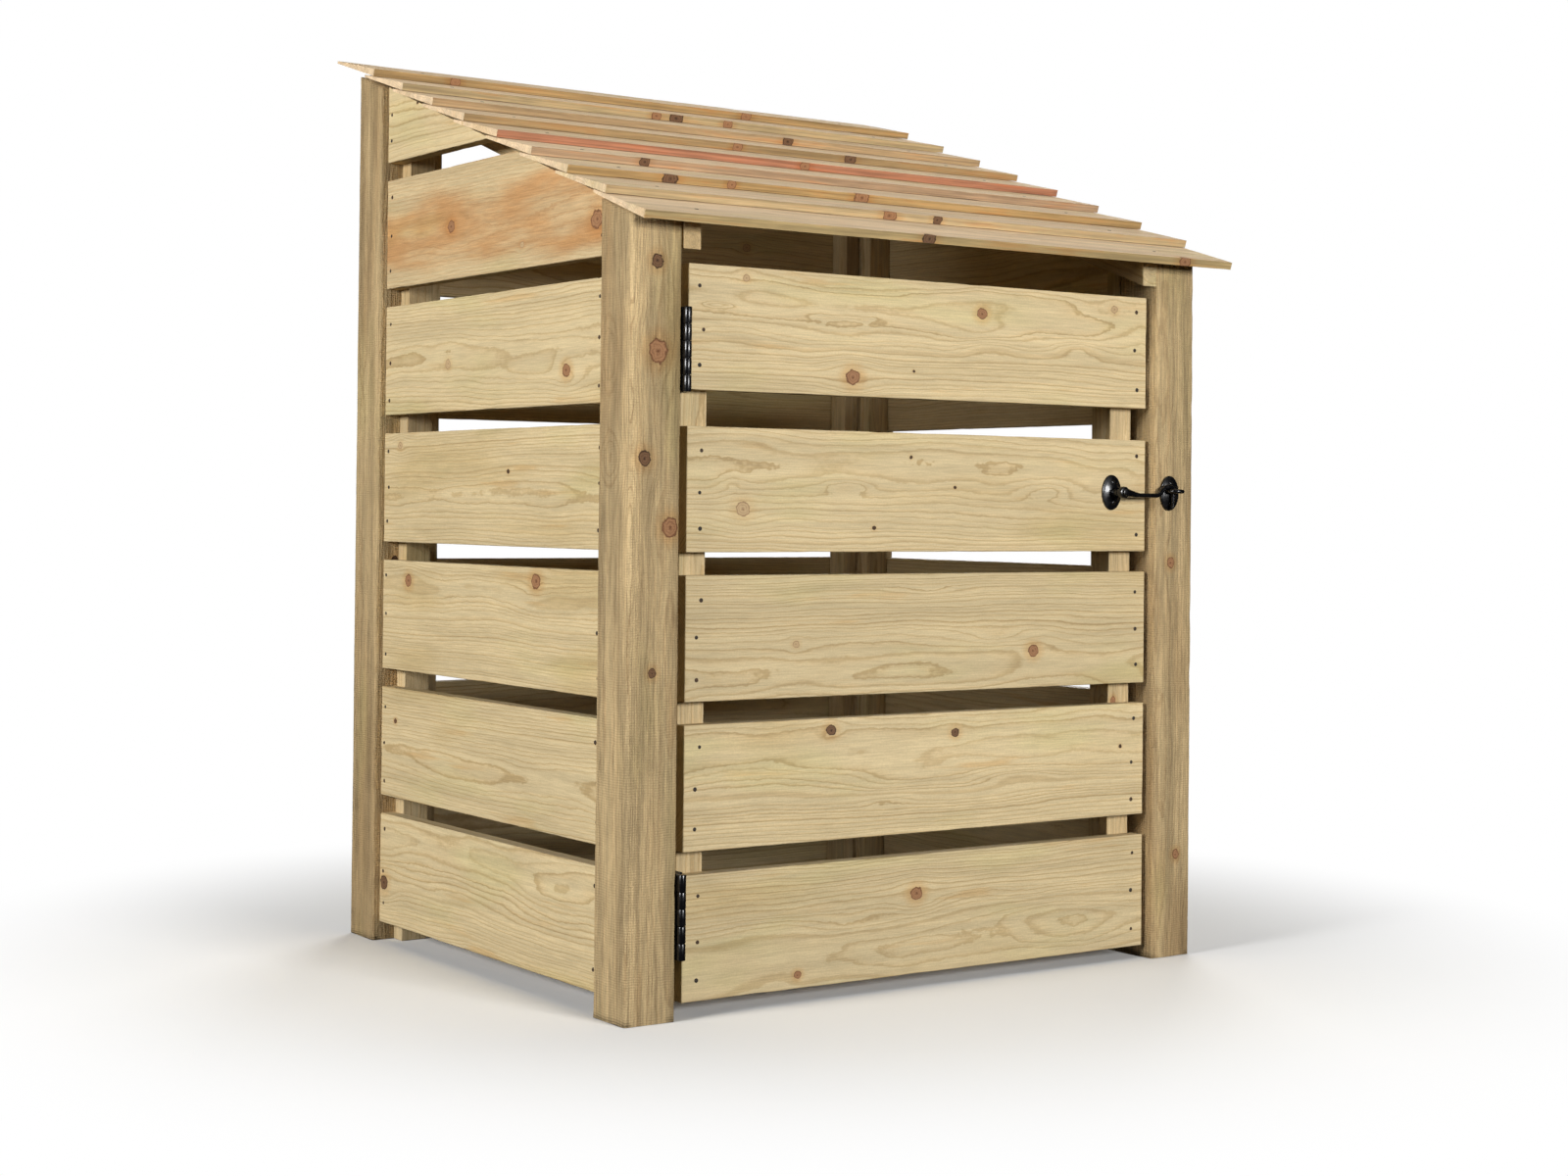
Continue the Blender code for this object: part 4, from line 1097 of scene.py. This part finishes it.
@dataclass
class Fastenings:
    """Nail heads and screw heads: one mesh for each kind on each body, made by Geometry Nodes."""

    nail_material: bpy.types.Material
    iron_material: bpy.types.Material
    nail_radius: float = 0.0026
    screw_radius: float = 0.0031
    seed: int = 7

    def build(self) -> list[bpy.types.Object]:
        """Build the heads of every body."""
        made = []
        for kind, pattern, radius, spread, finish, heads in (
                ("nails", self.nail_pattern(), self.nail_radius, 0.12, self.nail_material,
                 {"frame": self.wall_nails() + self.roof_nails(), "door": self.door_nails()}),
                ("screws", self.screw_pattern(), self.screw_radius, 0.0, self.iron_material,
                 {BODY_OF_NODE[node]: self.rose_screws(node) for node in ("latch_door_plate", "latch_post_plate")})):
            made += [self.scatter(f"{kind}_{body}", body, places, pattern, radius, spread, finish)
                     for body, places in heads.items()]
            bpy.data.objects.remove(pattern, do_unlink=True)
        return made

    def rows(self, node: str, ends: Vector, face: Vector, inset: float, count: int = 3) -> list[tuple[Vector, Vector]]:
        """Return the nails at both ends of a board.

        Args:
            node: the board.
            ends: direction of the board's length.
            face: direction out of the nailed face.
            inset: distance of the nails from the board's ends.
            count: nails at each end.

        Returns:
            Places on the face, each with the direction it faces.
        """
        low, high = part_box(node)
        chance = random.Random(seed_of(node) + 3)
        middle = (low + high) / 2
        half = (high - low) / 2
        places = []
        for side in (-1, 1):
            for index in range(count):
                height = (index - (count - 1) / 2) * (0.100 / max(1, count - 1))
                place = middle + ends * side * (abs(half.dot(ends)) - inset - chance.uniform(-0.003, 0.004))
                place.z = middle.z + height + chance.uniform(-0.005, 0.005)
                place += face * (abs(half.dot(face)) - 0.0002)
                places.append((place, face))
        return places

    def door_nails(self) -> list[tuple[Vector, Vector]]:
        """Return the nails of the door's boards."""
        return [nail for number in range(1, 6)
                for nail in self.rows(f"door_board_{number}", Vector((1, 0, 0)), Vector((0, -1, 0)), 0.018)]

    def wall_nails(self) -> list[tuple[Vector, Vector]]:
        """Return the nails of the three walls' boards."""
        places = []
        for node in frame["nodes"]:
            if node.startswith("back_board_"):
                places += self.rows(node, Vector((1, 0, 0)), Vector((0, 1, 0)), 0.012)
            elif node.startswith("side_board_"):
                face = Vector((-1 if "_left_" in node else 1, 0, 0))
                if node.endswith("_7"):
                    low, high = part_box(node)
                    outer = low.x + 0.0002 if face.x < 0 else high.x - 0.0002
                    places += [(Vector((outer, high.y - 0.011, low.z + height)), face) for height in (0.030, 0.066)]
                else:
                    places += [nail for nail in self.rows(node, Vector((0, 1, 0)), face, 0.012)
                               if self.below_slope(nail[0])]
        return places

    @staticmethod
    def below_slope(place: Vector, margin: float = 0.014) -> bool:
        """Return whether a place is well below the rafters' top line, so that there is board behind it."""
        slope = Roof.slope_direction()
        low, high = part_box("rafter_left")
        return place.z < high.z - margin - (high.y - place.y) * slope.z / slope.y

    def roof_nails(self) -> list[tuple[Vector, Vector]]:
        """Return one nail through each roof board into each rafter."""
        slope = Roof.slope_direction()
        up = Vector((0.0, -slope.z, slope.y))
        places = []
        for number in range(1, 10):
            node = frame["nodes"][f"roof_board_{number}"]
            points = [vertex.co for vertex in node.data.vertices]
            front_top = max((point for point in points if point.x < 0), key=lambda p: p.dot(up) - p.dot(slope))
            rear_top = max((point for point in points if point.x < 0), key=lambda p: p.dot(slope) + p.dot(up))
            on_top = front_top.lerp(rear_top, 0.30)
            top_out = Vector((0.0, -(rear_top - front_top).z, (rear_top - front_top).y)).normalized()
            for rafter in ("rafter_left", "rafter_right"):
                low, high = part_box(rafter)
                places.append((Vector(((low.x + high.x) / 2, on_top.y, on_top.z)) - top_out * 0.0002, top_out))
        return places

    def rose_screws(self, node: str) -> list[tuple[Vector, Vector]]:
        """Return the two screws of an oval plate."""
        low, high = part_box(node)
        middle = (low + high) / 2
        face = Vector((0, -1, 0))
        return [(Vector((middle.x, high.y - 0.0044, middle.z + side * 0.0142)),
                 (face + Vector((0, 0, side * 0.32))).normalized()) for side in (-1, 1)]

    @staticmethod
    def nail_pattern() -> bpy.types.Object:
        """Return a nail head of radius 1, flat on top with a rolled edge."""
        bm = lathe([(0.0, 0.16), (0.55, 0.17), (0.85, 0.15), (1.0, 0.04), (1.0, -0.2), (0.0, -0.2)], 10)
        return linked("nail_pattern", mesh_from("nail_pattern", bm))

    @staticmethod
    def screw_pattern() -> bpy.types.Object:
        """Return a round screw head of radius 1 with a slot across it."""
        head = lathe([(0.0, 0.46), (0.35, 0.43), (0.65, 0.34), (0.88, 0.18), (1.0, 0.0), (1.0, -0.12),
                      (0.0, -0.12)], 24)
        slot = bmesh.new()
        bmesh.ops.create_cube(slot, size=1.0)
        moved(slot, Matrix.LocRotScale((0.0, 0.0, 0.42), None, (2.4, 0.24, 0.42)))
        return linked("screw_pattern", combine("screw_pattern", [head], [slot]))

    def tree(self, name: str) -> bpy.types.GeometryNodeTree:
        """Return the node tree that sets a pattern on each point, facing the way the point says."""
        tree = bpy.data.node_groups.new(name, "GeometryNodeTree")
        for title, kind in (("Geometry", "Geometry"), ("Pattern", "Object"), ("Radius", "Float"),
                            ("Spread", "Float"), ("Seed", "Int"), ("Finish", "Material")):
            tree.interface.new_socket(title, in_out="INPUT", socket_type="NodeSocket" + kind)
        tree.interface.new_socket("Geometry", in_out="OUTPUT", socket_type="NodeSocketGeometry")
        given, result, pattern, facing, align, size, place, realize, finish, least, most, scale = (
            tree.nodes.new(kind) for kind in (
                "NodeGroupInput", "NodeGroupOutput", "GeometryNodeObjectInfo", "GeometryNodeInputNamedAttribute",
                "FunctionNodeAlignRotationToVector", "FunctionNodeRandomValue", "GeometryNodeInstanceOnPoints",
                "GeometryNodeRealizeInstances", "GeometryNodeSetMaterial", *["ShaderNodeMath"] * 3))
        facing.data_type = "FLOAT_VECTOR"
        facing.inputs["Name"].default_value = "facing"
        align.axis = "Z"
        least.operation, most.operation, scale.operation = "SUBTRACT", "ADD", "MULTIPLY"
        least.inputs[0].default_value = most.inputs[0].default_value = 1.0
        numbers = {socket.name: socket for socket in size.inputs if socket.type == "VALUE"}
        drawn = next(socket for socket in size.outputs if socket.type == "VALUE")
        for source, target in (
                (given.outputs["Pattern"], pattern.inputs["Object"]),
                (facing.outputs["Attribute"], align.inputs["Vector"]),
                (given.outputs["Spread"], least.inputs[1]), (given.outputs["Spread"], most.inputs[1]),
                (least.outputs[0], numbers["Min"]), (most.outputs[0], numbers["Max"]),
                (given.outputs["Seed"], size.inputs["Seed"]),
                (drawn, scale.inputs[0]), (given.outputs["Radius"], scale.inputs[1]),
                (given.outputs["Geometry"], place.inputs["Points"]),
                (pattern.outputs["Geometry"], place.inputs["Instance"]),
                (align.outputs["Rotation"], place.inputs["Rotation"]), (scale.outputs[0], place.inputs["Scale"]),
                (place.outputs["Instances"], realize.inputs["Geometry"]),
                (realize.outputs["Geometry"], finish.inputs["Geometry"]),
                (given.outputs["Finish"], finish.inputs["Material"]),
                (finish.outputs["Geometry"], result.inputs["Geometry"])):
            tree.links.new(source, target)
        return tree

    def scatter(self, name: str, body: str, places: list[tuple[Vector, Vector]], pattern: bpy.types.Object,
                radius: float, spread: float, material: bpy.types.Material) -> bpy.types.Object:
        """Return one plain mesh of every head on a body.

        Args:
            name: the piece's name.
            body: the body it rides on.
            places: each head's place and the direction it faces.
            pattern: the head's shape at radius 1.
            radius: the head's radius.
            spread: how much the radius may differ, as a share.
            material: the finish.

        Returns:
            The finished piece.
        """
        mesh = bpy.data.meshes.new(name)
        mesh.from_pydata([place for place, _ in places], [], [])
        facing = mesh.attributes.new("facing", "FLOAT_VECTOR", "POINT")
        for index, (_, direction) in enumerate(places):
            facing.data[index].vector = direction
        carrier = linked(name + "_places", mesh)
        tree = self.tree(name + "_tree")
        modifier = carrier.modifiers.new(name, "NODES")
        modifier.node_group = tree
        given = {"Pattern": pattern, "Radius": radius, "Spread": spread, "Seed": self.seed, "Finish": material}
        for item in tree.interface.items_tree:
            if item.in_out == "INPUT" and item.name in given:
                modifier[item.identifier] = given[item.name]
        evaluated = carrier.evaluated_get(bpy.context.evaluated_depsgraph_get())
        heads = bpy.data.meshes.new_from_object(evaluated)
        bpy.data.objects.remove(carrier, do_unlink=True)
        smooth_shade(heads, 40)
        piece = object_from(name, heads, material)
        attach(piece, body)
        return piece


# Studio

@dataclass
class Studio:
    """Pale floor, soft lights and the camera."""

    camera_place: Vector = field(default_factory=lambda: Vector((-1.91926, -2.79816, 0.60236)))
    yaw: float = 0.6066
    pitch: float = 0.0109
    roll: float = 0.0100
    lens: float = 56.07
    lift: float = -0.0682

    def build(self) -> None:
        """Build the floor, the lights, the world and the camera."""
        self.floor()
        self.light("front_light", Vector((0.35, -4.70, 1.35)), 1.2, 1.0, 188.0)
        self.light("left_light", Vector((-4.60, -0.70, 1.60)), 1.4, 1.1, 215.0)
        self.light("top_light", Vector((0.3, 0.2, 4.6)), 2.4, 2.4, 52.0)
        self.light("rear_light", Vector((3.6, 3.8, 2.0)), 2.4, 2.0, 150.0)
        self.world()
        self.camera()
        scene = bpy.context.scene
        scene.view_settings.view_transform = "Standard"

    def floor(self) -> None:
        """Lay a wide pale floor that fades into the backdrop."""
        bm = bmesh.new()
        bmesh.ops.create_circle(bm, cap_ends=True, segments=96, radius=14.0)
        mesh = mesh_from("studio_floor", bm)
        write = ShaderWriter("pale_floor")
        write.finish((0.90, 0.90, 0.89), 0.9, Specular_IOR_Level=0.1)
        place = write.node("ShaderNodeTexCoord").outputs["Object"]
        far = write.fade(write.vector("LENGTH", place), 0.62, 1.25)
        glow = write.node("ShaderNodeEmission")
        glow.inputs["Color"].default_value = (1.0, 1.0, 1.0, 1.0)
        both = write.node("ShaderNodeMixShader")
        write.feed(both.inputs[0], far)
        write.feed(both.inputs[1], write.shader.outputs[0])
        write.feed(both.inputs[2], glow.outputs[0])
        write.feed(write.tree.nodes["Material Output"].inputs["Surface"], both.outputs[0])
        piece = object_from("studio_floor", mesh, write.material)
        piece.visible_diffuse = False
        piece.visible_glossy = False

    @staticmethod
    def light(name: str, place: Vector, width: float, height: float, power: float) -> None:
        """Hang a soft light that points at the store."""
        data = bpy.data.lights.new(name, "AREA")
        data.shape = "RECTANGLE"
        data.size = width
        data.size_y = height
        data.energy = power
        lamp = linked(name, data)
        lamp.location = place
        lamp.rotation_euler = (Vector((0.0, 0.0, 0.6)) - place).to_track_quat("-Z", "Y").to_euler()
        lamp.visible_camera = False

    @staticmethod
    def world() -> None:
        """Surround the store with white that lights it only a little."""
        world = bpy.data.worlds.new("studio")
        bpy.context.scene.world = world
        world.use_nodes = True
        tree = world.node_tree
        background, seen = tree.nodes["Background"], tree.nodes.new("ShaderNodeBackground")
        for node, strength in ((background, 0.012), (seen, 1.0)):
            node.inputs["Color"].default_value = (1.0, 1.0, 1.0, 1.0)
            node.inputs["Strength"].default_value = strength
        path, both = tree.nodes.new("ShaderNodeLightPath"), tree.nodes.new("ShaderNodeMixShader")
        for source, target in ((path.outputs["Is Camera Ray"], both.inputs[0]),
                               (background.outputs[0], both.inputs[1]), (seen.outputs[0], both.inputs[2]),
                               (both.outputs[0], tree.nodes["World Output"].inputs["Surface"])):
            tree.links.new(source, target)

    def camera(self) -> None:
        """Set the camera low in front of the left corner."""
        forward = Vector((math.sin(self.yaw) * math.cos(self.pitch), math.cos(self.yaw) * math.cos(self.pitch),
                          math.sin(self.pitch)))
        right = Vector((math.cos(self.yaw), -math.sin(self.yaw), 0.0))
        up = right.cross(forward)
        turned_right = right * math.cos(self.roll) + up * math.sin(self.roll)
        turned_up = up * math.cos(self.roll) - right * math.sin(self.roll)
        data = bpy.data.cameras.new("camera")
        data.lens = self.lens
        data.sensor_width = 36.0
        data.shift_y = self.lift
        data.clip_end = 60.0
        camera = linked("camera", data)
        camera.matrix_world = Matrix.Translation(self.camera_place) @ Matrix(
            (turned_right, turned_up, -forward)).transposed().to_4x4()
        bpy.context.scene.camera = camera


def main() -> None:
    """Build every sub-assembly in order, and report each piece."""
    logging.basicConfig(level=logging.INFO, format="%(message)s")
    iron = iron_material(IronFinish())
    assemblies = (Carcass(), Roof(), Door(), Hinge("lower", iron), Hinge("upper", iron), CabinHook(iron),
                  Fastenings(nail_material(NailFinish()), iron))
    for assembly in assemblies:
        for piece in assembly.build():
            LOG.info("%s: %s, %d faces", type(assembly).__name__, piece.name, len(piece.data.polygons))
    Studio().build()


if __name__ == "__main__":
    main()
